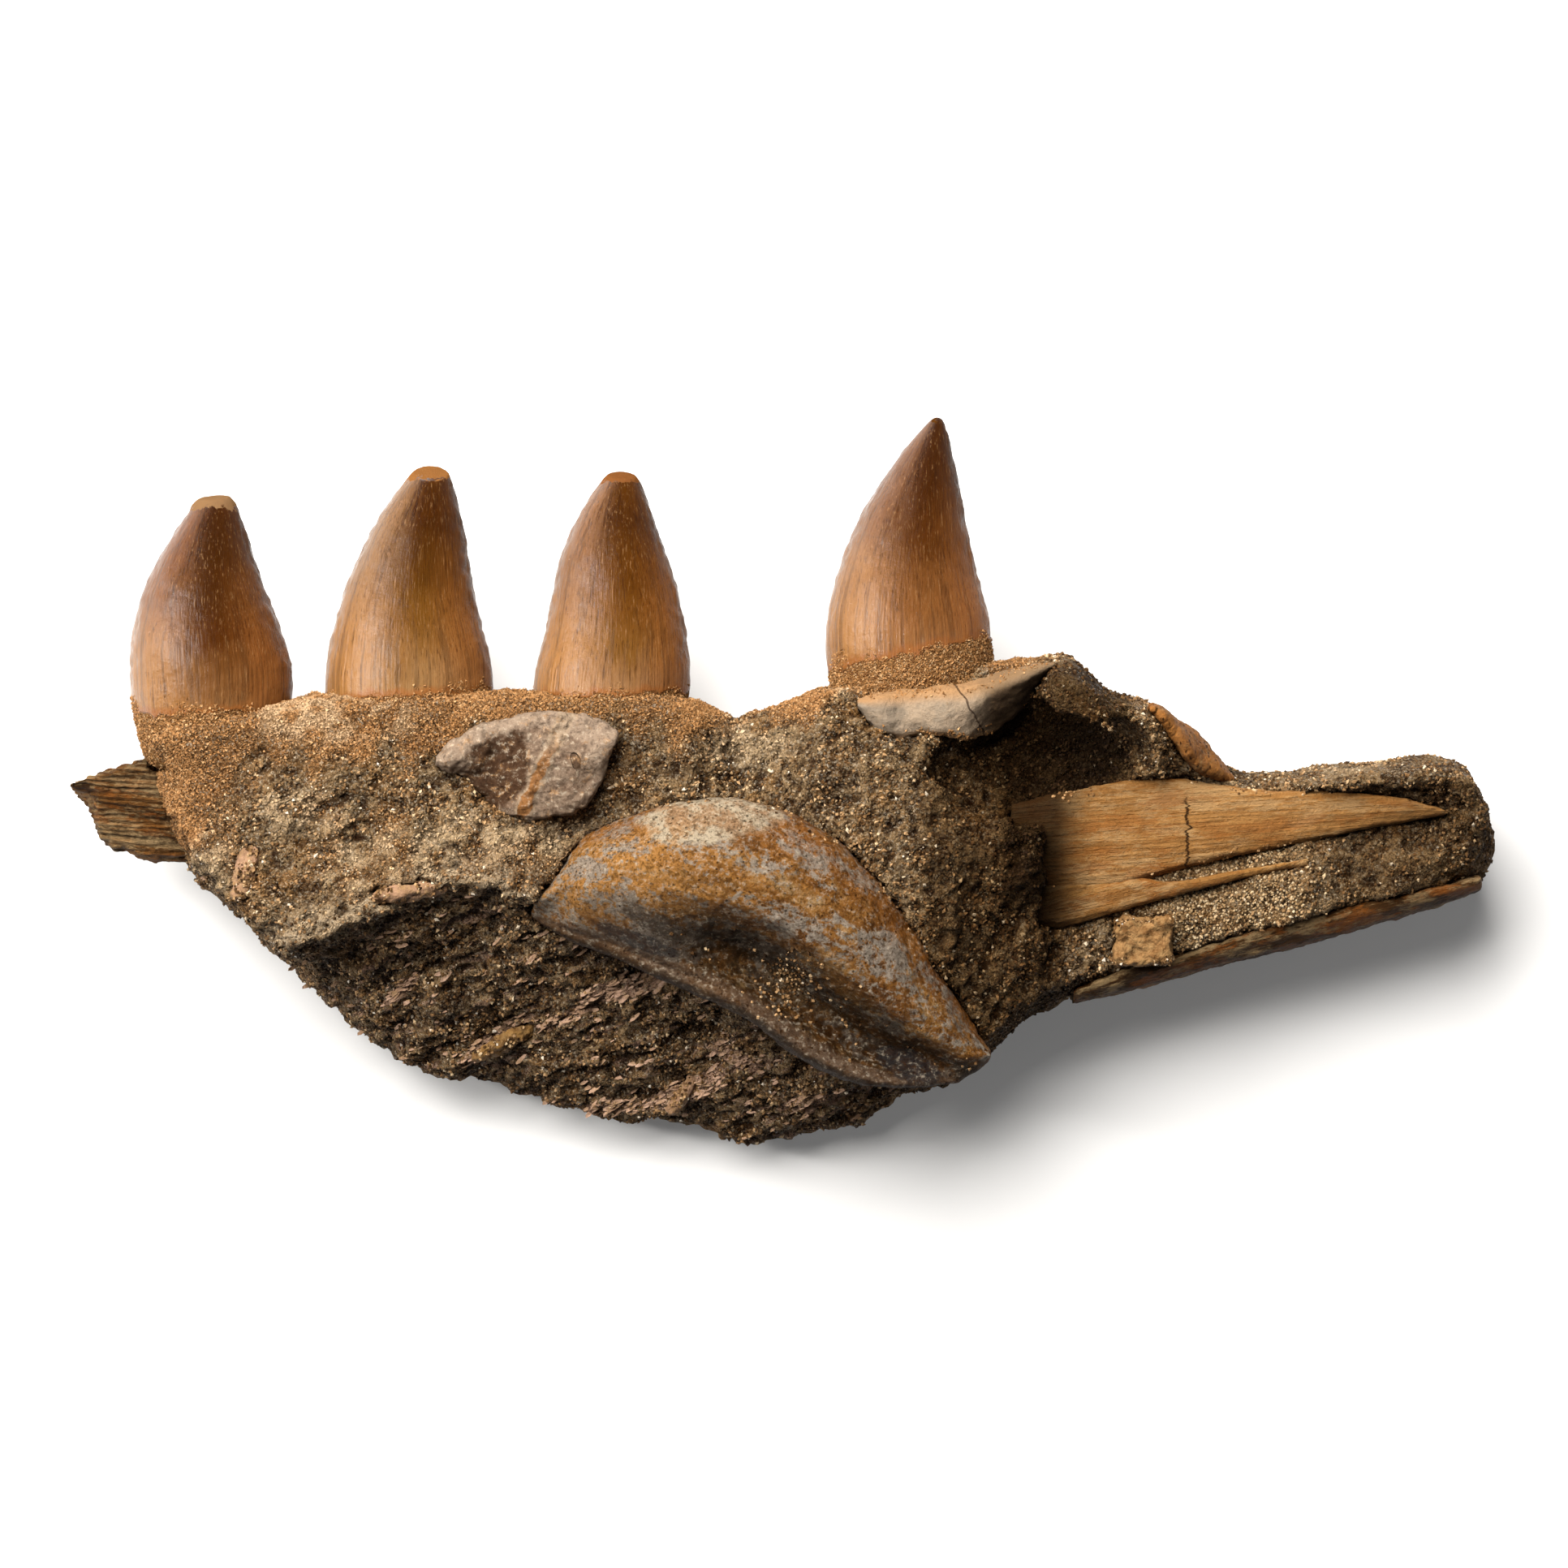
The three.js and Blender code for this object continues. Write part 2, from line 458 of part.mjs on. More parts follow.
// A geometry whose surface has moved out by a distance.
function swell(geometry, distance) {
  const swollen = geometry.clone();
  swollen.computeVertexNormals();
  const position = swollen.getAttribute("position");
  const normal = swollen.getAttribute("normal");
  const [point, out] = [new THREE.Vector3(), new THREE.Vector3()];
  for (let i = 0; i < position.count; i++) {
    point.fromBufferAttribute(position, i);
    point.addScaledVector(out.fromBufferAttribute(normal, i), distance);
    position.setXYZ(i, ...point);
  }
  return swollen;
}

// A piece that is set in the rock, with the pocket it sits in.
function setPiece(name, geometry, material, position, turn = [0, 0, 0]) {
  const mesh = new THREE.Mesh(geometry, material);
  mesh.name = name;
  mesh.position.set(...position);
  mesh.rotation.set(...turn.map(degToRad));
  mesh.updateMatrix();
  return { mesh, pocket: solidOf(swell(geometry, POCKET_GAP).applyMatrix4(mesh.matrix)) };
}

function solidOf(geometry) {
  const triVerts = new Uint32Array(geometry.index.array);
  const vertProperties = geometry.getAttribute("position").array;
  return new wasm.Manifold(new wasm.Mesh({ numProp: 3, vertProperties, triVerts }));
}

function geometryOf(solid) {
  const { vertProperties, triVerts, numProp } = solid.getMesh();
  const geometry = new THREE.BufferGeometry();
  const points = new THREE.InterleavedBuffer(vertProperties, numProp);
  geometry.setAttribute("position", new THREE.InterleavedBufferAttribute(points, 3, 0));
  geometry.setIndex(new THREE.BufferAttribute(triVerts, 1));
  return geometry;
}

// What is left of a solid after the cuts, without crumbs that the cuts parted from it.
function cutBack(solid, cutters) {
  const cut = cutters.reduce((rest, cutter) => rest.subtract(cutter), solid);
  return cut.decompose().reduce((a, b) => (a.volume() > b.volume() ? a : b));
}

const pieces = [
  ...TEETH.map((tooth) =>
    setPiece(tooth.name, toothGeometry(tooth), ENAMEL, [...tooth.gum, TOOTH_AXIS_HEIGHT]),
  ),
  setPiece("curved_bone", slabGeometry(CURVED_BONE), STAINED_BONE, [-42.8, -23.2, 0], [0, 0, -18.95]),
  setPiece("jaw_bone_plate", slabGeometry(JAW_PLATE), FIBROUS_BONE, [0, 0, 0]),
  setPiece("plate_splinter", slabGeometry(PLATE_SPLINTER), FIBROUS_BONE, [0, 0, 0]),
  setPiece("jaw_bone_strip", slabGeometry(JAW_STRIP), FIBROUS_BONE, [0, 0, 0]),
  setPiece("left_bone_splinter", slabGeometry(LEFT_SPLINTER), FIBROUS_BONE, [0, 0, 0]),
  setPiece("socket_bone", slabGeometry(SOCKET_BONE), GREY_BONE_FINISH, [0, 0, 0]),
  setPiece("grey_bone", slabGeometry(GREY_BONE), GREY_BONE_FINISH, [0, 0, 0]),
  setPiece("shoulder_bone", slabGeometry(SHOULDER_BONE), FIBROUS_BONE, [0, 0, 0]),
  ...SHARDS.map(({ name, size, at, turn, detail = 1, square = 0.7 }, layer) =>
    setPiece(name, shardGeometry(size, { detail, square, layer }), CHIP_BONE, at, turn),
  ),
];

// Each piece gives way to those named before it, and the rock to all of them.
pieces.forEach(({ mesh }, i) => {
  const whole = solidOf(mesh.geometry.clone().applyMatrix4(mesh.matrix));
  const before = pieces.slice(0, i).map((p) => p.pocket);
  const kept = cutBack(whole, before.filter((p) => p.intersect(whole).volume() > 0));
  mesh.geometry = geometryOf(kept).applyMatrix4(mesh.matrix.clone().invert());
});

function hollow() {
  const geometry = new THREE.SphereGeometry(1, 18, 10);
  geometry.deleteAttribute("normal");
  geometry.deleteAttribute("uv");
  const ball = mergeVertices(geometry, 1e-4).scale(...CAVITY_SIZE);
  return solidOf(ball.rotateZ(degToRad(CAVITY_TURN)).translate(...CAVITY_CENTRE));
}

const rock = cutBack(solidOf(rockGeometry()), [hollow(), ...pieces.map((p) => p.pocket)]);
const matrix = new THREE.Mesh(geometryOf(rock), SANDSTONE);
matrix.name = "matrix";

const fossil = new THREE.Group();
fossil.add(matrix, ...pieces.map((p) => p.mesh));
const box = new THREE.Box3().setFromObject(fossil, true);
const middle = box.getCenter(new THREE.Vector3());
fossil.position.set(-middle.x, -middle.y, -box.min.z);

export default fossil;
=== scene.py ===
"""Fossil jaw fragment of a mosasaur in its sandstone, lying on its back and seen from above."""
import math

import bpy
import numpy as np
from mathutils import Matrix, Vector
from mathutils.bvhtree import BVHTree
from mathutils.noise import turbulence


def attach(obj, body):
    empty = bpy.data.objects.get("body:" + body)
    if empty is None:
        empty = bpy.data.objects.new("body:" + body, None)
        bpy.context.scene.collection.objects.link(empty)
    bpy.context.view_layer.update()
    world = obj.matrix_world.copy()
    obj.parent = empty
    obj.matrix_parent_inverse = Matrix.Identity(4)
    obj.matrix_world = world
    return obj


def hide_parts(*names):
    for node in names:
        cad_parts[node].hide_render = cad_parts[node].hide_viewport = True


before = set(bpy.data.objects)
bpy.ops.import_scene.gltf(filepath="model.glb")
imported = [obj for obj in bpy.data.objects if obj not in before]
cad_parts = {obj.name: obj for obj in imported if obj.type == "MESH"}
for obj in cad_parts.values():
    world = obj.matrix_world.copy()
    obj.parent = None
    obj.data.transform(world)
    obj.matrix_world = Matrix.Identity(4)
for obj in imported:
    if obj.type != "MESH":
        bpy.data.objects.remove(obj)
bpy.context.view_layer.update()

MM = 0.001
PHOTO_WIDTH = 270.5 * MM  # what the frame takes in at the height of the tooth row
TOOTH_ROW_HEIGHT = 27 * MM
CAMERA_LENS = 150
SENSOR = 36

# Shaping the pieces.
SLICES = 39  # how many slices lay_out measures a piece in
HIGH_UP = 200  # in mm, where the rays that look for a bone's surface start
WORN_AWAY = 0.94  # the share of what stands over a tooth's facet that is gone
LIP = 0.84  # how far across the curved bone its lip begins

# Lights: the side each stands on, its size, power and colour, and whether glossy surfaces show it.
LIGHT = 2.0  # the floor is lit this far past white
LIGHT_DISTANCE = 0.9
SKY = 0.04
FLOOR_GREY = 0.55
FLOOR_GLOW = 0.1
LIGHTS = {
    "key softbox": ((-0.3, 0.55, 0.75), (0.8, 0.8), 20.5, (1, 0.97, 0.93), False),
    "left softbox": ((-0.8, 0.14, 0.56), (0.08, 0.3), 2.5, (1, 0.97, 0.93), True),
    "fill softbox": ((0.97, 0.12, 0.2), (0.5, 0.4), 0.7, (1, 0.98, 0.96), False),
}

# Colours of the fossil in good light.
INK_BROWN = "2c170b"
WARM_BROWN = "6e4423"
OCHRE = "b27d40"
BLUE_GREY = "343538"
SAND = "bb8a57"
SAND_SHADE = "7c5230"
ROCK_BROWN = "7d6241"
ROCK_TAN = "a58559"
PINK_SHELL = "bd9580"
# Painted shade: the dark colour laid where the rock lies in shadow, and how far it covers at most.
SHADE_PAINT = "1f1309"
SHADE_PAINT_COVER = 0.92


def tint(code):
    """A colour as it looks in the light, from six hex digits, made ready for the shader."""
    parts = [int(code[i:i + 2], 16) / 255 for i in (0, 2, 4)]
    linear = [p / 12.92 if p <= 0.04045 else ((p + 0.055) / 1.055) ** 2.4 for p in parts]
    return (*[value / LIGHT for value in linear], 1)


# Nodes.
def feed(tree, sockets, values):
    """Links sockets to other sockets, or sets them to constant values."""
    for name, value in values.items():
        if isinstance(value, bpy.types.NodeSocket):
            tree.links.new(value, sockets[name])
        else:
            sockets[name].default_value = value


def node(tree, kind, inputs=(), **settings):
    """A node with its settings and its inputs."""
    made = tree.nodes.new(kind)
    for name, value in settings.items():
        setattr(made, name, value)
    feed(tree, made.inputs, dict(inputs))
    return made


class Shades:
    """The nodes of one material or shared group, with patterns in millimetres."""

    def __init__(self, tree, where=None):
        self.tree = tree
        self.where = where

    def node(self, kind, inputs=(), **settings):
        """A node; a colour may be hex digits."""
        ready = {
            name: tint(value) if isinstance(value, str) else value for name, value in dict(inputs).items()
        }
        return node(self.tree, kind, ready, **settings)

    def noise(self, scale, detail=4, roughness=0.55, distortion=0.0, at=None):
        return self.node("ShaderNodeTexNoise", {
            "Vector": at or self.where, "Scale": scale, "Detail": detail, "Roughness": roughness,
            "Distortion": distortion,
        }).outputs["Fac"]

    def cells(self, scale, at=None):
        inputs = {"Vector": at or self.where, "Scale": scale}
        return self.node("ShaderNodeTexVoronoi", inputs).outputs["Distance"]

    def sum(self, operation, *values):
        return self.node("ShaderNodeMath", dict(enumerate(values)), operation=operation).outputs[0]

    def times(self, product, *others):
        """All the values multiplied together."""
        for other in others:
            product = self.sum("MULTIPLY", product, other)
        return product

    def scaled(self, value, factor, added):
        """The value times a factor, with something added."""
        return self.sum("MULTIPLY_ADD", value, factor, added)

    def opposite(self, share):
        """What is left of 1 beside the share."""
        return self.sum("SUBTRACT", 1.0, share)

    def between(self, value, low, high, start=0.0, end=1.0):
        """How far the value is from low to high, with a soft start and end."""
        return self.node("ShaderNodeMapRange", {
            "Value": value, "From Min": low, "From Max": high, "To Min": start, "To Max": end,
        }, interpolation_type="SMOOTHSTEP").outputs["Result"]

    def mixed(self, share, first, second, how="MIX"):
        inputs = {0: share, 6: first, 7: second}
        return self.node("ShaderNodeMix", inputs, data_type="RGBA", blend_type=how).outputs[2]

    def coated(self, colour, *coats):
        """The colour under coats: each its paint, then the shares whose product says how much covers."""
        for paint, *shares in coats:
            colour = self.mixed(self.times(*shares), colour, paint)
        return colour

    def ramp(self, value, stops):
        """Colours along a value, from (place, hex digits) pairs."""
        made = self.node("ShaderNodeValToRGB", {"Fac": value})
        points = made.color_ramp.elements
        while len(points) < len(stops):
            points.new(0.5)
        for point, (place, colour) in zip(points, stops):
            point.position = place
            point.color = tint(colour)
        return made.outputs["Color"]

    def turned(self, degrees, at=None):
        """Positions turned about Z."""
        inputs = {"Vector": at or self.where, "Angle": math.radians(degrees)}
        return self.node("ShaderNodeVectorRotate", inputs, rotation_type="Z_AXIS").outputs["Vector"]

    def stretched(self, scale, at=None):
        """Positions scaled along each axis."""
        return self.node("ShaderNodeMapping", {"Vector": at or self.where, "Scale": scale}).outputs["Vector"]

    def axes(self):
        return self.node("ShaderNodeSeparateXYZ", {0: self.where}).outputs

    def attribute(self, name):
        return self.node("ShaderNodeAttribute", attribute_name=name).outputs["Fac"]

    def pointed(self):
        """0 in the hollows of the mesh and 1 on its lumps."""
        return self.between(self.node("ShaderNodeNewGeometry").outputs["Pointiness"], 0.42, 0.58)

    def spot(self, centre, radii, turn):
        """1 inside a ragged oval seen from above, falling to 0 outside it."""
        moved = self.node("ShaderNodeVectorMath", {0: self.where, 1: (*centre, 0)}, operation="SUBTRACT")
        sized = self.stretched((1 / radii[0], 1 / radii[1], 0), self.turned(-turn, moved.outputs[0]))
        length = self.node("ShaderNodeVectorMath", {0: sized}, operation="LENGTH").outputs["Value"]
        ragged = self.scaled(self.noise(0.4, 6, 0.6), 0.8, -0.4)
        return self.between(self.sum("ADD", length, ragged), 1.05, 0.85)

    def relief(self, layers):
        """A normal from layers: a height from 0 to 1, and the millimetres that it stands for."""
        over = {}
        for height, millimetres in layers:
            inputs = {"Height": height, "Distance": millimetres * MM, "Strength": 1.0, **over}
            over = {"Normal": self.node("ShaderNodeBump", inputs).outputs["Normal"]}
        return over["Normal"]

    def placed(self, shared, at, values):
        """A shared group placed with its own values, in the order of its inputs."""
        inputs = dict(enumerate((at or self.where, *values)))
        return self.node("ShaderNodeGroup", inputs, node_tree=shared).outputs

    def patches(self, per_mm, amount, edge, at=None):
        return self.placed(PATCHES, at, (per_mm, amount, edge))["Mask"]

    # The gap value says how dark the painted shade between the grains is.
    def packed(self, per_mm, gap_shade, dark, middle, pale):
        return self.placed(GRAINS, None, (per_mm, gap_shade, dark, middle, pale))

    def fibres(self, per_mm, length, at):
        return self.placed(FIBRES, at, (per_mm, length))


def group(name, inputs, outputs):
    """An empty shader node group: its nodes, and its inputs."""
    tree = bpy.data.node_groups.new(name, "ShaderNodeTree")
    for sockets, way in ((inputs, "INPUT"), (outputs, "OUTPUT")):
        for label, kind in sockets.items():
            tree.interface.new_socket(label, in_out=way, socket_type=f"NodeSocket{kind}")
    given = tree.nodes.new("NodeGroupInput").outputs
    return Shades(tree, given["Position"]), given


def closed(shades, results):
    """A shared group with its results linked to its outputs."""
    node(shades.tree, "NodeGroupOutput", results)
    return shades.tree


def packed_grains():
    """Packed grains of mixed colours, from their own random tones, with painted shade in the gaps between
    them.
    """
    shades, given = group("packed grains", {
        "Position": "Vector", "Grains per mm": "Float", "Gap shade": "Float",
        "Dark": "Color", "Middle": "Color", "Pale": "Color",
    }, {"Colour": "Color", "Relief": "Float", "Glint": "Float"})
    inputs = {"Vector": shades.where, "Scale": given["Grains per mm"]}
    grains = shades.node("ShaderNodeTexVoronoi", inputs).outputs
    tone = shades.node("ShaderNodeSeparateColor", {"Color": grains["Color"]}).outputs
    # The gaps between grains are darkened as painted shade, and lie lower in the relief.
    gap = shades.between(grains["Distance"], 0.3, 0.7)
    colour = shades.coated(
        given["Middle"],
        (given["Dark"], shades.between(tone[0], 0.42, 0.1)),
        (given["Pale"], shades.between(tone[0], 0.7, 1.0)),
        (INK_BROWN, gap, given["Gap shade"]),
    )
    return closed(shades, {
        "Colour": colour, "Relief": shades.opposite(gap), "Glint": shades.between(tone[1], 0.93, 0.97),
    })


def mottled_patches():
    """Irregular patches with speckled edges, more of them as Amount goes from 0 to 1."""
    shades, given = group("patches", {
        "Position": "Vector", "Patches per mm": "Float", "Amount": "Float", "Edge": "Float",
    }, {"Mask": "Float"})
    cloud = shades.noise(given["Patches per mm"], 7, 0.65, 0.3)
    specks = shades.noise(shades.times(given["Patches per mm"], 9.0), 5, 0.7)
    both = shades.scaled(cloud, 0.7, shades.times(specks, 0.3))
    middle = shades.scaled(given["Amount"], -0.4, 0.7)
    low, high = [shades.sum(way, middle, given["Edge"]) for way in ("SUBTRACT", "ADD")]
    return closed(shades, {"Mask": shades.between(both, low, high)})


def straight_fibres():
    """Fine lines that run along the first axis of the position."""
    shades, given = group("fibres", {
        "Position": "Vector", "Lines per mm": "Float", "Length in mm": "Float",
    }, {"Streaks": "Float", "Relief": "Float"})
    scale = shades.node("ShaderNodeCombineXYZ", {
        "X": shades.sum("DIVIDE", 1.0, given["Length in mm"]), "Y": given["Lines per mm"],
        "Z": given["Lines per mm"],
    }).outputs[0]
    fine = shades.node("ShaderNodeVectorMath", {0: shades.where, 1: scale}, operation="MULTIPLY").outputs[0]
    lines = shades.noise(1.0, 3, 0.6, at=fine)
    bands = shades.noise(0.28, 2, 0.5, at=fine)
    both = shades.scaled(bands, 0.6, shades.times(lines, 0.4))
    return closed(shades, {
        "Streaks": shades.between(both, 0.36, 0.64), "Relief": shades.between(lines, 0.3, 0.7),
    })


GRAINS = packed_grains()
PATCHES = mottled_patches()
FIBRES = straight_fibres()


# Materials.
def new_skin(name):
    """A new material's nodes, with the position in millimetres."""
    made = bpy.data.materials.new(name)
    made.use_nodes = True
    skin = Shades(made.node_tree)
    place = skin.node("ShaderNodeTexCoord").outputs["Object"]
    inputs = {0: place, "Scale": 1000.0}
    skin.where = skin.node("ShaderNodeVectorMath", inputs, operation="SCALE").outputs[0]
    skin.material = made
    skin.shader = made.node_tree.nodes["Principled BSDF"].inputs
    return skin


def finished(skin, colour, rough, layers, shine=0.14):
    """The material with its colour, roughness, layers of relief and shine."""
    feed(skin.tree, skin.shader, {
        "Base Color": colour, "Roughness": rough, "Normal": skin.relief(layers), "Specular IOR Level": shine,
    })
    return skin.material


def with_painted_shade(skin, colour):
    """The colour under painted shade where the rock lies in shadow: warmer, and dark where it is thick."""
    painted_shade = skin.attribute("painted_shade")
    colour = skin.mixed(painted_shade, colour, (1, 0.84, 0.6, 1), how="MULTIPLY")
    return skin.coated(colour, (SHADE_PAINT, painted_shade, SHADE_PAINT_COVER))


def speckled(skin, colour, strength, specks_per_mm):
    """The colour with fine dark and pale specks in it."""
    grit = skin.noise(specks_per_mm, 4, 0.8)
    return skin.coated(
        colour, (INK_BROWN, skin.between(grit, 0.5, 0.34, 0.0, strength)),
        ("f0dfc4", skin.between(grit, 0.53, 0.68, 0.0, 0.8 * strength)),
    )


# Beds of broken shell in the lower face: centre, half sizes and turn from +X.
SHELL_BEDS = (
    ((-27, -35), (9, 2.0), 14), ((-50, -44.5), (8, 1.7), 34), ((-17, -53.5), (8, 2.2), 22),
    ((-8, -47.5), (5, 1.6), -30), ((-37, -40), (6, 1.2), 25), ((-30, -56.5), (7, 1.2), 8),
    ((-66, -35.5), (4, 1.2), 40), ((4, -55.5), (6, 1.3), 10),
)


def sandstone(name):
    """Coarse sparkling rock, with finer tan sand where the sandy attribute says, painted shade in its hollows
    and between its grains, and painted shade where it lies in shadow.
    """
    skin = new_skin(name)
    sandy, layered, ledge, pale = [skin.attribute(zone) for zone in ("sandy", "layered", "ledge", "pale")]
    lump = skin.pointed()
    # Painted shade: rock and sand are darkened in the hollows of the mesh.
    hollows = skin.between(lump, 0.5, 0.1)
    body = skin.mixed(skin.patches(0.08, 0.55, 0.08), "846a4a", "a57c4e")
    coarse = skin.packed(1.7, 0.95, "2c1e11", body, "e6d4b6")
    fine = skin.packed(3.0, 0.62, "80562f", "b38250", "cca271")
    small = skin.packed(3.6, 0.95, "24170c", body, "dcbd92")
    layers = skin.stretched((0.05, 0.4, 0.25), skin.turned(-24))
    veins = skin.noise(1.0, 7, 0.66, 0.6, at=layers)
    shell = 0.0
    for bed in SHELL_BEDS:
        shell = skin.sum("MAXIMUM", shell, skin.spot(*bed))
    rock = skin.coated(
        skin.mixed(0.45, coarse["Colour"], small["Colour"]),
        ("c2a074", skin.patches(0.2, 0.55, 0.06), skin.scaled(lump, 0.75, 0.1)),
        (PINK_SHELL, skin.between(veins, 0.56, 0.6), layered, 0.55),
        (INK_BROWN, skin.between(veins, 0.45, 0.36), layered, 0.6),
        (OCHRE, skin.patches(0.14, 0.35, 0.05), 0.45),
        (INK_BROWN, skin.between(skin.noise(0.38, 7, 0.7), 0.44, 0.38), 0.6),
        ("dcc09a", ledge, skin.between(skin.noise(0.7, 6), 0.35, 0.55), 0.85),
        (INK_BROWN, hollows, 0.7),
        ("d8ab8e", shell, skin.between(skin.noise(4.0, 7, 0.75, at=layers), 0.4, 0.52), 0.85),
        ("e0bf92", pale, skin.scaled(lump, 0.7, 0.25)),
    )
    sand = skin.coated(
        fine["Colour"],
        (SAND_SHADE, skin.patches(0.1, 0.5, 0.12), 0.35),
        ("dbb282", pale, 0.6),
        ("6a4424", skin.between(skin.noise(1.1, 6, 0.75), 0.5, 0.36), 0.6),
        ("43280f", hollows, 0.7),
    )
    # Painted shade where the rock lies in shadow goes over everything.
    colour = with_painted_shade(skin, speckled(skin, skin.mixed(sandy, rock, sand), 0.8, 1.7))
    bare = skin.opposite(sandy)
    dull = skin.scaled(skin.times(coarse["Glint"], bare), -0.75, 0.92)
    return finished(skin, colour, dull, (
        (skin.noise(1.1, 8, 0.75), 1.9), (skin.times(coarse["Relief"], bare), 0.55),
        (skin.times(fine["Relief"], sandy), 0.3),
    ))


def loose_grain(name):
    """Single grains that stand on the rock, each of its own tone."""
    skin = new_skin(name)
    tone, sandy, pale = [skin.attribute(given) for given in ("tone", "sandy", "pale")]
    coarse = skin.ramp(tone, (
        (0.0, "2a1c0e"), (0.3, "5d4226"), (0.62, "8f6c46"), (0.86, "c09a6e"), (0.96, "d8bd95"),
        (1.0, "efe4d2"),
    ))
    fine = skin.ramp(tone, ((0.0, "7f562f"), (0.4, "a47648"), (0.8, "b78655"), (1.0, "cda575")))
    speck = skin.noise(3.0, 2)
    colour = skin.coated(
        skin.mixed(sandy, coarse, fine),
        (WARM_BROWN, skin.between(speck, 0.5, 0.75, 0.0, 0.4)), ("dcc09a", pale, 0.55),
    )
    dull = skin.sum("MAXIMUM", skin.between(tone, 0.97, 0.99, 0.85, 0.15), skin.times(sandy, 0.8))
    # The grains take the rock's painted shade too.
    return finished(skin, with_painted_shade(skin, colour), dull, [(speck, 0.08)], shine=0.3)


def pale_bead(name):
    """The round pale grains on the arm, a little glassy."""
    skin = new_skin(name)
    stops = (0.0, "6a4f34"), (0.35, "94754f"), (0.7, "b99c74"), (1.0, "d6c09c")
    colour = skin.ramp(skin.attribute("tone"), stops)
    return finished(skin, colour, 0.45, [(skin.noise(4.0, 2), 0.06)])


def enamel(name, stops, tip, tip_start, gum_tilt, painted_sheen_colour):
    """A tooth: satin crown that pales to its base, painted sheen on its left side and painted light on its
    right side near the base, worn tip, orange gum band, and a porous root.
    """
    skin = new_skin(name)
    height, across = skin.attribute("along"), skin.attribute("across")
    upright = skin.node("ShaderNodeCombineXYZ", {
        "X": height, "Y": skin.times(across, 14.0), "Z": skin.axes()["Z"],
    }).outputs[0]
    lines = skin.fibres(2.4, 0.5, upright)
    streaks = lines["Streaks"]
    cloud = skin.scaled(skin.noise(0.12, 5), 0.3, -0.2)
    level = skin.sum("ADD", height, skin.scaled(streaks, 0.1, cloud))
    # painted sheen: a paler colour on the left side, for the light from the left
    side = skin.mixed(skin.between(level, 0.7, 0.1), painted_sheen_colour, "9c6d3c")
    to_left = skin.scaled(streaks, -0.14, across)
    hair = skin.noise(1.0, 3, 0.7, at=skin.stretched((3.6, 0.14, 3.6)))
    worn_line = skin.scaled(skin.noise(0.45, 5, 0.7), 0.14, height)
    worn = skin.between(worn_line, tip_start + 0.07, tip_start + 0.078)
    ragged = skin.scaled(skin.noise(0.35, 5), 0.1, -0.05)
    over_gum = skin.sum("SUBTRACT", height, skin.scaled(across, gum_tilt, ragged))
    root = skin.between(over_gum, 0.0, -0.015)
    pores = skin.packed(3.4, 0.5, SAND_SHADE, "a87a4b", "d8b184")
    colour = skin.coated(
        skin.ramp(level, stops),
        (side, skin.between(to_left, 0.0, -0.85), 0.9),
        # painted light: the right side is lighter and more orange towards the base, for the fill light and
        # light through the enamel
        ("9c6030", skin.between(across, 0.2, 0.9), skin.between(level, 0.9, 0.1, 0.1, 0.7)),
        ("2b1508", skin.between(streaks, 0.55, 0.0), 0.38),
        ("b08558", skin.between(hair, 0.56, 0.72, 0.0, 0.36)),
        ("351a08", skin.between(hair, 0.46, 0.32, 0.0, 0.6)),
        (tip, worn),
        ("8f5426", skin.between(over_gum, 0.04, 0.0), 0.65),
        (pores["Colour"], root),
    )
    dull = skin.sum("MAXIMUM", root, worn)
    gloss = skin.scaled(skin.noise(0.9, 5), 0.24, 0.1)
    rough = skin.sum("MAXIMUM", gloss, skin.times(dull, 0.85))
    polish = skin.times(skin.between(across, 0.3, -0.2, 0.04, 0.45), skin.opposite(dull))
    feed(skin.tree, skin.shader, {
        "Subsurface Weight": 0.06, "Subsurface Radius": (1.0, 0.45, 0.2), "Subsurface Scale": 1.5 * MM,
    })
    return finished(skin, colour, rough, (
        (skin.noise(0.4, 3), 0.2), (skin.noise(2.2, 5, 0.75), 0.06), (lines["Relief"], 0.04),
        (skin.times(pores["Relief"], root), 0.22), (skin.opposite(root), 0.25),
    ), shine=polish)


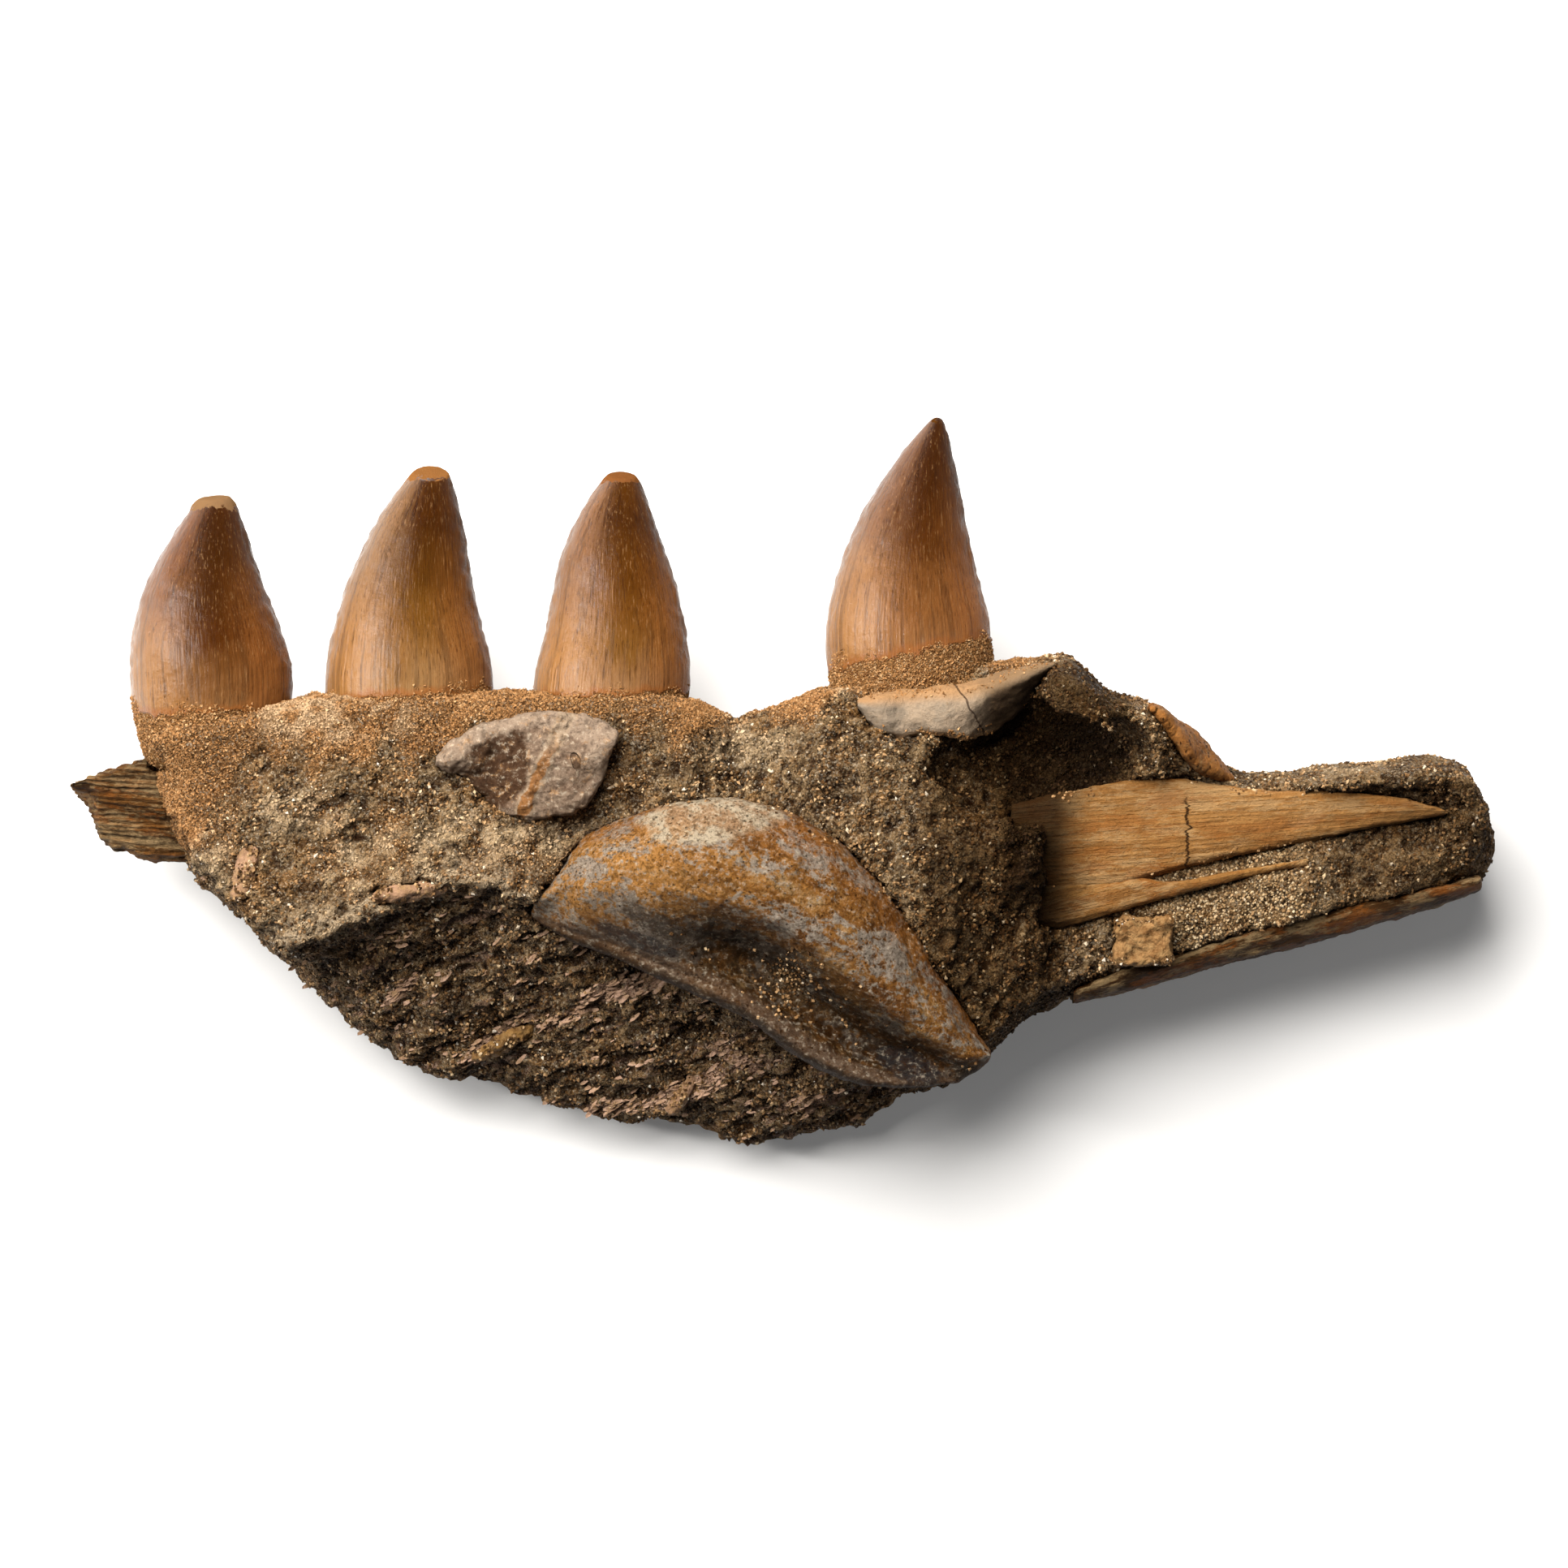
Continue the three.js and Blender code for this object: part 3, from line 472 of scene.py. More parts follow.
def stained_bone(name):
    """The curved bone: orange, grey and cream stains that run along it, painted shadow in its trough, a
    painted highlight on its upper rim and painted light on its left end.
    """
    skin = new_skin(name)
    long = skin.stretched((0.36, 1.0, 1.0), skin.turned(26))
    along, across = skin.attribute("along"), skin.attribute("across")
    crumbs = skin.noise(0.8, 8, 0.76)
    rusty = skin.scaled(skin.noise(0.24, 6, 0.7, at=long), 0.6, skin.times(crumbs, 0.4))
    greyish = skin.scaled(skin.noise(0.19, 8, 0.7, 0.5, at=long), 0.55, skin.times(crumbs, 0.45))
    # Painted shadow: where the dome's shadow falls into the trough.
    trough = skin.times(
        skin.between(across, -0.88, -0.78), skin.between(across, 0.1, -0.3),
        skin.between(along, 10, 34, 0.15, 1.0),
    )
    shadow_depth = skin.between(skin.noise(0.5, 7, 0.75), 0.35, 0.58, 0.5, 0.95)
    lip = skin.scaled(crumbs, 0.2, skin.sum("SUBTRACT", across, 0.1))
    blue = skin.between(crumbs, 0.3, 0.5, 0.95, 0.7)
    pores = skin.between(skin.cells(0.8), 0.2, 0.08)
    colour = skin.coated(
        skin.ramp(rusty, ((0.38, "5c3413"), (0.46, "95602a"), (0.52, "b47a3a"), (0.6, "c89e68"))),
        # orange stain on the left end, made brighter as painted light where the end faces away from the light
        ("e0a055", skin.between(along, 38, 10), skin.between(across, -0.7, -0.4), 0.6),
        ("b3a797", skin.between(greyish, 0.497, 0.52), 0.88),
        ("a8682c", skin.between(across, 0.5, 0.85), skin.between(greyish, 0.58, 0.5), 0.7),
        # cream on the upper rim: pale bone with a painted highlight
        ("e4d0ae", skin.spot((-12, -5.5), (13, 4.6), 8), skin.between(greyish, 0.45, 0.53, 0.3, 0.82)),
        # painted shadow in the trough and in a low spot under the dome, broken up by noise
        ("2a1b0c", trough, shadow_depth),
        ("33210f", skin.spot((-21, -23.8), (8, 1.9), -28), shadow_depth, 0.7),
        ("705844", skin.between(lip, -0.72, -0.8), 0.88),
        ("3c2a17", skin.between(across, -0.87, -0.95, 0.0, 0.85)),
        (BLUE_GREY, skin.spot((21, -47.8), (6.5, 2.6), -25), blue),
        (BLUE_GREY, skin.spot((-25, -26.4), (8, 1.5), -20), blue),
        ("5a442a", skin.spot((0.5, -34.5), (4.5, 2.6), -35), 0.8),
        ("54340f", skin.between(skin.noise(1.2, 8, 0.85), 0.5, 0.6), 0.8),
        (INK_BROWN, pores, 0.75),
    )
    return finished(skin, speckled(skin, colour, 0.65, 1.1), 0.62, (
        (skin.noise(0.9, 9, 0.75, at=long), 3.4), (skin.noise(1.6, 6, 0.75), 0.9),
        (skin.opposite(pores), 0.2),
    ))


def fibrous_bone(
    name, main, dark, angle, lines_per_mm=2.6, relief=0.16, streak=0.7, crack=None, painted_shadow_end=None,
):
    """Jaw bone with straight fibres at an angle from +X, and rust and cream between them; painted shade in
    its hollows and, where asked, a painted shadow over its left end.
    """
    skin = new_skin(name)
    axes = skin.axes()
    place = skin.turned(-angle)
    long = skin.stretched((0.3, 1.0, 1.0), place)
    lines = skin.fibres(lines_per_mm, 14.0, place)
    colour = skin.coated(
        skin.mixed(skin.scaled(lines["Streaks"], streak, 1 - streak), dark, main),
        ("d4b483", skin.patches(0.25, 0.45, 0.05, long), 0.35),
        ("96551f", skin.patches(0.3, 0.42, 0.04, long), 0.45),
        # painted shade: the dark colour in the hollows of the mesh
        (dark, skin.between(skin.pointed(), 0.35, 0.0, 0.0, 0.5)),
    )
    layers = [(lines["Relief"], relief), (skin.noise(1.8, 7, 0.7), 0.45)]
    # Painted shadow: the left end darkens below the given X, where the rock wall beside the plate casts its
    # shadow.
    if painted_shadow_end is not None:
        painted_shadow = skin.between(axes["X"], painted_shadow_end + 9, painted_shadow_end, 0.0, 0.92)
        colour = skin.coated(colour, ("1c1108", painted_shadow))
    if crack is not None:
        wander = skin.noise(1.0, 5, 0.65, at=skin.stretched((0, 0.45, 0)))
        off = skin.sum("SUBTRACT", axes["X"], skin.scaled(wander, 6.0, crack - 3))
        line = skin.between(skin.sum("ABSOLUTE", off), 0.3, 0.08)
        line = skin.times(line, skin.between(axes["Y"], -1.5, -4), 0.9)
        colour = skin.coated(colour, (INK_BROWN, line))
        layers.append((skin.opposite(line), 0.5))
    return finished(skin, colour, 0.7, layers)


def broken_grey_bone(name):
    """The broken bone between two teeth: pale rim, dark scoop, and an orange calcite seam."""
    skin = new_skin(name)
    axes = skin.axes()
    slant = skin.scaled(axes["Y"], -0.4545, axes["X"])
    wander = skin.scaled(skin.noise(0.4), 3.0, -1.5)
    off = skin.sum("ABSOLUTE", skin.sum("ADD", skin.sum("ADD", slant, 42.2), wander))
    seam = skin.times(skin.between(off, 1.2, 0.8), skin.between(axes["Y"], 9, 3))
    pit = skin.spot((-35.3, 3.9), (0.9, 1.7), 20)
    colour = skin.coated(
        skin.mixed(skin.patches(0.16, 0.5, 0.1), "7d6552", "8f7965"),
        ("4a3220", skin.spot((-48.6, 2.4), (5.6, 7.2), -24), 0.92),
        ("ac957f", skin.opposite(skin.spot((-43.4, 1), (12.6, 8.6), 4)), 0.7),
        ("a86f38", seam, 0.8),
        ("bda487", skin.sum("SUBTRACT", skin.between(off, 1.9, 1.3), seam), 0.6),
        ("4a3524", pit, 0.75),
        (SAND, skin.patches(0.5, 0.3, 0.05), 0.6),
    )
    return finished(skin, speckled(skin, colour, 0.55, 1.0), 0.65, (
        (skin.noise(0.22, 2), 3.0), (skin.noise(0.9, 8, 0.7), 0.8), (skin.opposite(pit), 0.7),
    ))


def socket_rim_bone(name):
    """The pale bone of the fourth tooth's socket: tan rims, one crack, and painted shade over its right end,
    darkest on its lower side there.
    """
    skin = new_skin(name)
    axes = skin.axes()
    across = skin.attribute("across")
    rims = skin.sum("MAXIMUM", skin.between(across, 0.2, 0.8), skin.between(across, -0.7, -1.0))
    under = skin.between(skin.scaled(axes["X"], -0.36, axes["Y"]), 4.2, 2.0)
    slant = skin.scaled(axes["Y"], 0.6, axes["X"])
    wander = skin.scaled(skin.noise(0.3), 2.0, -1.0)
    off = skin.sum("ABSOLUTE", skin.sum("SUBTRACT", skin.sum("ADD", slant, wander), 39.4))
    colour = skin.coated(
        skin.mixed(skin.patches(0.14, 0.5, 0.1), "b39c82", "978774"),
        (SAND, rims, 0.75),
        # painted shade: the right end slopes down into the hollow, and its lower side lies in shadow
        ("7c6449", skin.between(axes["X"], 30, 37, 0.0, 0.7)),
        ("2e1e10", under, skin.between(axes["X"], 33.5, 36.0, 0.0, 0.85)),
        (INK_BROWN, skin.between(off, 0.28, 0.1), 0.8),
        (ROCK_BROWN, skin.between(skin.noise(1.2, 7, 0.75), 0.56, 0.66), 0.5),
    )
    return finished(skin, colour, 0.68, [(skin.noise(0.9, 9, 0.7), 0.7)])


def porous_bone(name, main, dark):
    """Brown bone worn open to its pores."""
    skin = new_skin(name)
    pores = skin.between(skin.cells(1.3, skin.stretched((1.0, 0.45, 0.6))), 0.3, 0.14)
    colour = skin.coated(
        skin.mixed(skin.patches(0.25, 0.5, 0.1), main, dark),
        (INK_BROWN, pores, 0.8), (ROCK_TAN, skin.patches(0.5, 0.35, 0.05), 0.5),
    )
    return finished(skin, colour, 0.7, ((skin.noise(1.2, 7, 0.7), 0.8), (skin.opposite(pores), 0.4)))


def chip_bone(name, main, dark):
    """Small fragments of bone and shell, dusty in places."""
    skin = new_skin(name)
    colour = skin.mixed(skin.patches(0.4, 0.5, 0.12), main, dark)
    colour = skin.coated(colour, (ROCK_TAN, skin.patches(0.7, 0.4, 0.08), 0.6))
    return finished(skin, colour, 0.7, [(skin.noise(1.3, 6), 0.6)])


# Shaping.
def only(piece, linked=True):
    """Makes a piece the one selected and active object, in the scene if it isn't linked yet."""
    if not linked:
        bpy.context.scene.collection.objects.link(piece)
    bpy.ops.object.select_all(action="DESELECT")
    piece.select_set(True)
    bpy.context.view_layer.objects.active = piece


def copy_of(name, cad_node):
    """A new piece from the CAD node's surface, with its corners merged."""
    piece = bpy.data.objects.new(name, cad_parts[cad_node].data.copy())
    piece.data.materials.clear()
    only(piece, linked=False)
    bpy.ops.mesh.customdata_custom_splitnormals_clear()
    bpy.ops.object.mode_set(mode="EDIT")
    bpy.ops.mesh.select_all(action="SELECT")
    bpy.ops.mesh.remove_doubles(threshold=2e-6)
    bpy.ops.mesh.tris_convert_to_quads()
    bpy.ops.object.mode_set(mode="OBJECT")
    return piece


def apply(piece, kind, **settings):
    """Adds one modifier to a piece and applies it."""
    only(piece)
    made = piece.modifiers.new(kind.lower(), kind)
    for name, value in settings.items():
        setattr(made, name, value)
    bpy.ops.object.modifier_apply(modifier=made.name)


def swollen(piece, height, within=""):
    """Moves the surface outwards by a height in millimetres."""
    apply(piece, "DISPLACE", direction="NORMAL", strength=height * MM, mid_level=0.0, vertex_group=within)


def lumpy(piece, kind, size, height, within="", **settings):
    """Pushes the surface in and out by a cloudy or cellular texture; sizes in millimetres."""
    texture = bpy.data.textures.new(f"{piece.name} {kind.lower()} {size}", kind)
    texture.noise_scale = size * MM
    for name, value in settings.items():
        setattr(texture, name, value)
    apply(
        piece, "DISPLACE", texture=texture, texture_coords="LOCAL", direction="NORMAL",
        strength=height * MM, mid_level=0.5, vertex_group=within,
    )


def remeshed(piece, voxel, smooth):
    """Gives a piece even small faces, voxel millimetres wide, and smooths it a number of times."""
    apply(piece, "REMESH", mode="VOXEL", voxel_size=voxel * MM, adaptivity=0.0)
    if smooth:
        apply(piece, "SMOOTH", factor=0.5, iterations=smooth)


def vectors(values, name):
    flat = np.empty(len(values) * 3, dtype=np.float32)
    values.foreach_get(name, flat)
    return flat.reshape(-1, 3)


def corners(piece):
    """The piece's vertices in millimetres."""
    return vectors(piece.data.vertices, "co") / MM


def facing(piece):
    """The way that each vertex faces."""
    return vectors(piece.data.vertex_normals, "vector")


def move_to(piece, points):
    """Moves the piece's vertices to points in millimetres."""
    piece.data.vertices.foreach_set("co", (points * MM).astype(np.float32).ravel())
    piece.data.update()


def keep(piece, name, values):
    """Stores one number for each vertex, for the material to read."""
    kept = piece.data.attributes.get(name) or piece.data.attributes.new(name, "FLOAT", "POINT")
    kept.data.foreach_set("value", np.asarray(values, dtype=np.float32))


def stored(piece, name):
    """The number kept under a name for each vertex."""
    values = np.empty(len(piece.data.vertices), dtype=np.float32)
    piece.data.attributes[name].data.foreach_get("value", values)
    return values


def weigh(piece, name, values):
    """Stores one weight for each vertex, for a modifier to read."""
    weights = piece.vertex_groups.new(name=name)
    for i, value in enumerate(np.round(values, 2)):
        if value > 0:
            weights.add([i], float(value), "REPLACE")


def soft(values, low, high):
    """How far the values are from low to high, with a soft start and end."""
    share = np.clip((values - low) / (high - low), 0, 1)
    return share * share * (3 - 2 * share)


def cloudy(points, size, seed=0.0):
    """A smooth random value for each point, with lumps of a size in mm."""
    return np.array([turbulence(Vector(p) / size + Vector((seed, 0, 0)), 3, False) for p in points])


def drifting(points, lumps_per_mm):
    """A smoother random value for each point."""
    return np.array([turbulence(Vector(p) * lumps_per_mm, 2, False) for p in points])


def lengthways(points, degrees):
    """Each point's place along a line turned from +X, and its place to the left of that line."""
    turn = math.radians(degrees)
    along = points[:, 0] * math.cos(turn) + points[:, 1] * math.sin(turn)
    return along, points[:, 1] * math.cos(turn) - points[:, 0] * math.sin(turn)


def lay_out(piece, angle):
    """Stores how far along its length, turned by angle from +X, and across it each vertex is."""
    along, side = lengthways(corners(piece), angle)
    places = np.linspace(along.min(), along.max(), SLICES + 1)
    slot = np.clip(np.searchsorted(places, along) - 1, 0, SLICES - 1)
    seen = [i for i in range(SLICES) if (slot == i).any()]
    middles = ((places[1:] + places[:-1]) / 2)[seen]
    low = np.interp(along, middles, [side[slot == i].min() for i in seen])
    high = np.interp(along, middles, [side[slot == i].max() for i in seen])
    keep(piece, "along", along - along.min())
    keep(piece, "across", np.clip(2 * (side - low) / np.maximum(high - low, 0.1) - 1, -1, 1))


def dressed(piece, finish, slot, *cad_nodes, smooth=True):
    """Gives a finished piece its material, the body it rides on and what it stands for; slot is not used."""
    piece.data.materials.clear()
    piece.data.materials.append(finish)
    only(piece)
    if smooth:
        bpy.ops.object.shade_smooth()
    else:
        bpy.ops.object.shade_flat()
    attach(piece, "root")
    if cad_nodes:
        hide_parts(*cad_nodes)
    return piece


# Rock. Where fine sand begins and where the show side breaks off, seen from above: X, then Y.
SAND_LINE = (
    (-112, -103, -97, -92, -80, -62, -55, -30, -12, 0, 8, 40, 46),
    (-14, -12, -4, 3, 4.5, 3, 8, 9, 8, 11, 13, 16, 19),
)
BROW = (
    (-110, -98, -87, -75, -57, -48, -39, -12, 5, 30, 40, 120),
    (6, -15, -28, -24, -17, -17, -22, -27, -36, -46, -38, -14),
)

# Pale patches of sand and rock: centre and half sizes seen from above.
PALE_PATCHES = (
    ((-77, 11), (15, 4)), ((-47, -9), (15, 5)), ((-70, -14), (9, 5)), ((17, 18), (10, 4)),
    ((96, 4), (9, 3)), ((-98, -14), (4, 6)), ((-5, 6), (8, 4)), ((-83, -5), (9, 4)), ((-64, -12), (9, 4)),
)
# Ovals that the painted shade fills: the hollow under the hump and the hump's shadowed face; centre and half
# sizes.
HOLLOW = ((45, 4.5), (16, 9.5))
CREST = ((51, 15), (8, 5))


def off_centre(x, y, centre, half_sizes):
    """How far each point is from an oval's centre, with its edge at 1."""
    return np.hypot((x - centre[0]) / half_sizes[0], (y - centre[1]) / half_sizes[1])


def rock_zones(rock):
    """Stores where the rock is sand, is broken across its layers, is dusty, pale, or darkened by painted
    shade.
    """
    points = corners(rock)
    x, y, z = points.T
    wander = 2.0 * np.sin(0.31 * x + 0.9) + 1.4 * np.sin(0.83 * x + 0.4 * z)
    wander += 1.2 * np.sin(0.57 * y + 0.37 * x)
    sand_line = np.interp(x, *SAND_LINE)
    sandy = soft(y + wander, sand_line - 1.5, sand_line + 2.5) * (1 - soft(x, 40, 46)) * soft(z, 18, 26)
    off_brow = y - np.interp(x, *BROW)
    layered = (1 - soft(off_brow, -2, 1)) * (1 - soft(x, 28, 40))
    ledge = np.exp(-((off_brow - 1.5) / 3.2) ** 2) * soft(x, -92, -86) * (1 - soft(x, -42, -36))
    film = soft(cloudy(points, 9.0, 3.0), 0.0, 0.2) * (1 - soft(x, -30, -18)) * soft(off_brow, 0, 2)
    sandy = np.maximum(sandy, 0.35 * film)
    pale = np.max([soft(1.25 - off_centre(x, y, *patch), 0, 0.6) for patch in PALE_PATCHES], axis=0)
    pale *= soft(cloudy(points, 3.5, 9.0), -0.2, 0.2)
    # Painted shade: on the slope that falls away to the right, beside the plate's left end in the wall's
    # shadow, on the hump's face, in the arm's far groove and in the hollow under the hump.
    slope = soft(x, 20, 27) * (1 - soft(x, 46, 50)) * soft(y + 0.25 * x, -44, -36) * (1 - soft(y, 2, 8))
    beside_plate = soft(x, 31, 39) * (1 - soft(x, 48, 50)) * soft(y, -28, -18) * (1 - soft(y, 10, 15))
    crest = 0.75 * soft(1.3 - off_centre(x, y, *CREST), 0, 0.4)
    far_groove = 0.4 * soft(x, 90, 102) * (1 - soft(y, -1, 2))
    hollow = soft(1.25 - off_centre(x, y, *HOLLOW), 0, 0.55)
    hollow *= (1 - soft(z, 45, 49)) * (0.8 + 0.2 * soft(x, 34, 41))
    painted_shade = np.max([0.62 * slope, beside_plate, crest, far_groove, hollow], axis=0)
    zones = {"sandy": sandy, "layered": layered, "ledge": ledge, "pale": pale, "painted_shade": painted_shade}
    for name, share in zones.items():
        keep(rock, name, share)
    return sandy, layered


def bedded(rock, layered):
    """Grooves and ledges where the layers come out on the lower face."""
    points = corners(rock)
    x, y, z = points.T
    across = (y - 0.42 * x) * 0.9 + 5 * drifting(points, 0.09)
    steps = np.sin(across) + 0.5 * np.sin(2.3 * across + 1) + 0.35 * np.sin(4.1 * across)
    move_to(rock, points + facing(rock) * (0.42 * steps * layered * soft(z, 1, 6))[:, None])


def bare_over(rock, depth, *bones):
    """Lowers the rock to just below the bones where its lumps would hide them."""
    points = corners(rock)
    for bone in bones:
        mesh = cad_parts[bone].data
        outline = [v.co / MM for v in mesh.vertices]
        shell = BVHTree.FromPolygons(outline, [p.vertices for p in mesh.polygons])
        low, high = np.min(outline, axis=0), np.max(outline, axis=0)
        for i in np.flatnonzero(np.all((points > low - 0.5) & (points < high + 4), axis=1)):
            top = shell.ray_cast(Vector((points[i][0], points[i][1], HIGH_UP)), Vector((0, 0, -1)))[0]
            if top is not None and top.z - depth < points[i][2] < top.z + 4:
                points[i][2] = top.z - depth
    move_to(rock, points)


def make_rock():
    """The carved rock made rough and bedded, and lowered under the bones."""
    rock = copy_of("sandstone_rock", "matrix")
    remeshed(rock, 0.85, 3)
    sandy, layered = rock_zones(rock)
    x, y, z = corners(rock).T
    above = soft(z, 0.6, 4)
    on_edge = (1 - soft(np.abs(facing(rock)[:, 2]), 0.2, 0.5)) * (1 - soft(z, 18, 26))
    in_groove = soft(x, 55, 62) * (1 - soft(y, -13, -9))
    hump_wall = soft(x, 40, 46) * (1 - soft(x, 66, 72)) * soft(y, 5, 9)
    thin_wall = np.maximum(hump_wall, soft(x, 72, 80) * soft(y, -1, 2))
    calm = (1 - 0.7 * sandy) * (1 - 0.55 * on_edge) * (1 - 0.5 * in_groove) * (1 - 0.85 * thin_wall)
    shares = {"all over": 1, "coarse": calm, "thin wall": thin_wall, "fine": 1 - 0.7 * thin_wall}
    for name, share in shares.items():
        weigh(rock, name, above * share)
    swollen(rock, 0.45, "all over")
    swollen(rock, 0.3, "thin wall")
    bedded(rock, layered)
    lumpy(rock, "CLOUDS", 5.0, 2.1, within="coarse")
    lumpy(rock, "CLOUDS", 2.4, 2.1, within="coarse", noise_type="HARD_NOISE", noise_depth=3)
    lumpy(rock, "VORONOI", 1.8, 0.9, within="coarse")
    lumpy(rock, "CLOUDS", 1.6, 0.9, within="fine")
    bare_over(
        rock, 0.5, "grey_bone", "curved_bone", "jaw_bone_plate", "plate_splinter", "socket_bone",
        "shoulder_bone",
    )
    rock.vertex_groups.clear()
    return dressed(rock, sandstone("sandstone"), "sandstone", "matrix")


# Grains.
def grain_shape(kind, radius):
    """One rough grain that the scatter copies."""
    size = radius * MM
    bpy.ops.object.select_all(action="DESELECT")
    if kind == "bead":
        bpy.ops.mesh.primitive_ico_sphere_add(subdivisions=1, radius=size)
    elif kind == "sand":
        bpy.ops.mesh.primitive_cone_add(vertices=3, radius1=1.25 * size, depth=1.8 * size)
    elif kind == "crystal":
        bpy.ops.mesh.primitive_cube_add(size=1.6 * size)
    elif kind == "flake":
        bpy.ops.mesh.primitive_cylinder_add(vertices=7, radius=size, depth=0.35 * size)
    else:
        tips = [(1, 0, 0), (0, 1, 0), (-1, 0, 0), (0, -1, 0), (0, 0, 1), (0, 0, -1)]
        sides = [(i, (i + 1) % 4, 4) for i in range(4)] + [((i + 1) % 4, i, 5) for i in range(4)]
        shape = bpy.data.meshes.new(kind)
        shape.from_pydata([[size * part for part in tip] for tip in tips], [], sides)
        only(bpy.data.objects.new(kind, shape), linked=False)
    bpy.ops.object.mode_set(mode="EDIT")
    bpy.ops.mesh.select_all(action="SELECT")
    bpy.ops.transform.resize(value=(2.6, 0.8, 1) if kind == "flake" else (1.15, 0.95, 0.85))
    bpy.ops.transform.vertex_random(offset=(0.05 if kind == "bead" else 0.25) * size, seed=4)
    bpy.ops.object.mode_set(mode="OBJECT")
    return bpy.context.object


ANY_WAY = ((0, 0, 0), (6.28, 6.28, 6.28))
ALONG_LAYERS = ((-0.7, -0.5, 0.1), (0.5, 0.5, 0.8))


def scatter(name, host, where, grain, per_square_mm, sizes, seed, turns=ANY_WAY):
    """Grains strewn over a surface where a share from 0 to 1 says so, joined into one piece."""
    piece = host.copy()
    piece.data = host.data.copy()
    piece.name = name
    bpy.context.scene.collection.objects.link(piece)
    keep(piece, "strewn", where)
    tree = bpy.data.node_groups.new(name, "GeometryNodeTree")
    for label, way in (("Surface", "INPUT"), ("Grains", "OUTPUT")):
        tree.interface.new_socket(label, in_out=way, socket_type="NodeSocketGeometry")
    surface = node(tree, "NodeGroupInput").outputs[0]
    weight = node(tree, "GeometryNodeInputNamedAttribute", {"Name": "strewn"}, data_type="FLOAT").outputs[0]
    inputs = {0: weight, 1: per_square_mm / MM / MM}
    density = node(tree, "ShaderNodeMath", inputs, operation="MULTIPLY").outputs[0]
    points = node(tree, "GeometryNodeDistributePointsOnFaces", {
        "Mesh": surface, "Density": density, "Seed": seed,
    }).outputs["Points"]

    def drawn(low, high, later):
        """Random numbers from low to high; each draw has a later seed."""
        inputs = {2: low, 3: high, "Seed": seed + later}
        return node(tree, "FunctionNodeRandomValue", inputs, data_type="FLOAT").outputs[1]

    inputs = {0: turns[0], 1: turns[1], "Seed": seed}
    turn = node(tree, "FunctionNodeRandomValue", inputs, data_type="FLOAT_VECTOR").outputs[0]
    size = drawn(*sizes, 1)
    tone = drawn(0.0, 1.0, 2)
    toned = node(tree, "GeometryNodeStoreNamedAttribute", {
        "Geometry": points, "Name": "tone", "Value": tone,
    }, data_type="FLOAT", domain="POINT").outputs[0]
    shape = node(tree, "GeometryNodeObjectInfo", {"Object": grain}).outputs["Geometry"]
    strewn = node(tree, "GeometryNodeInstanceOnPoints", {
        "Points": toned, "Instance": shape, "Rotation": turn, "Scale": size,
    }).outputs[0]
    node(tree, "NodeGroupOutput", {0: node(tree, "GeometryNodeRealizeInstances", {0: strewn}).outputs[0]})
    apply(piece, "NODES", node_group=tree)
    piece.vertex_groups.clear()
    bpy.data.objects.remove(grain)
    return piece


def make_grains(rock):
    """Grit on the broken rock, fine sand beside the teeth, pale beads on the arm, flakes of shell."""
    points = corners(rock)
    x, y, z = points.T
    up = facing(rock)[:, 2]
    sandy, layered = stored(rock, "sandy"), stored(rock, "layered")
    clumps = soft(drifting(points, 0.16), -0.2, 0.3)
    seen = soft(up, -0.2, 0.2) * soft(z, 2, 6)
    on_arm = soft(x, 57, 64) * (1 - soft(x, 84, 96)) * (1 - soft(y, -13, -9)) * soft(up, 0.5, 0.8)
    grit = (1 - sandy) * (0.2 + 0.8 * clumps)
    sand = sandy * (0.3 + 0.7 * clumps)
    loose = loose_grain("loose grains")
    for name, where, kind, radius, density, sizes, finish in (
        ("rock_grit", grit, "pebble", 0.26, 1.8, (0.5, 1.9), loose),
        ("tan_sand", sand, "sand", 0.19, 20, (0.5, 1.5), loose),
        ("pale_beads", on_arm, "bead", 0.25, 4.6, (0.6, 1.35), pale_bead("pale beads")),
    ):
        grains = scatter(name, rock, seen * where, grain_shape(kind, radius), density, sizes, 11)
        dressed(grains, finish, "sandstone", smooth=False)
    in_beds = np.zeros(len(x))
    for middle, half_sizes, turn in SHELL_BEDS:
        ahead, aside = lengthways(points[:, :2] - middle, turn)
        in_beds = np.maximum(in_beds, 1 - soft(off_centre(ahead, aside, (0, 0), half_sizes), 0.7, 1.2))
    beds = layered * soft(up, 0.35, 0.6) * (0.05 + 0.95 * in_beds)
    flakes = scatter("shell_flakes", rock, beds, grain_shape("flake", 0.33), 1.3, (0.4, 1.6), 5, ALONG_LAYERS)
    dressed(flakes, chip_bone("shell flakes", "d0ab92", "a88468"), "bone_chip", smooth=False)


def gritted(host, name, where, kind, radius, density, sandy, seed):
    """Grains stuck on a tooth or a bone, where a share from 0 to 1 says so."""
    keep(host, "sandy", np.full(len(where), sandy))
    grains = scatter(name, host, where, grain_shape(kind, radius), density, (0.5, 1.5), seed)
    dressed(grains, bpy.data.materials["loose grains"], "sandstone", smooth=False)
    host.data.attributes.remove(host.data.attributes["sandy"])
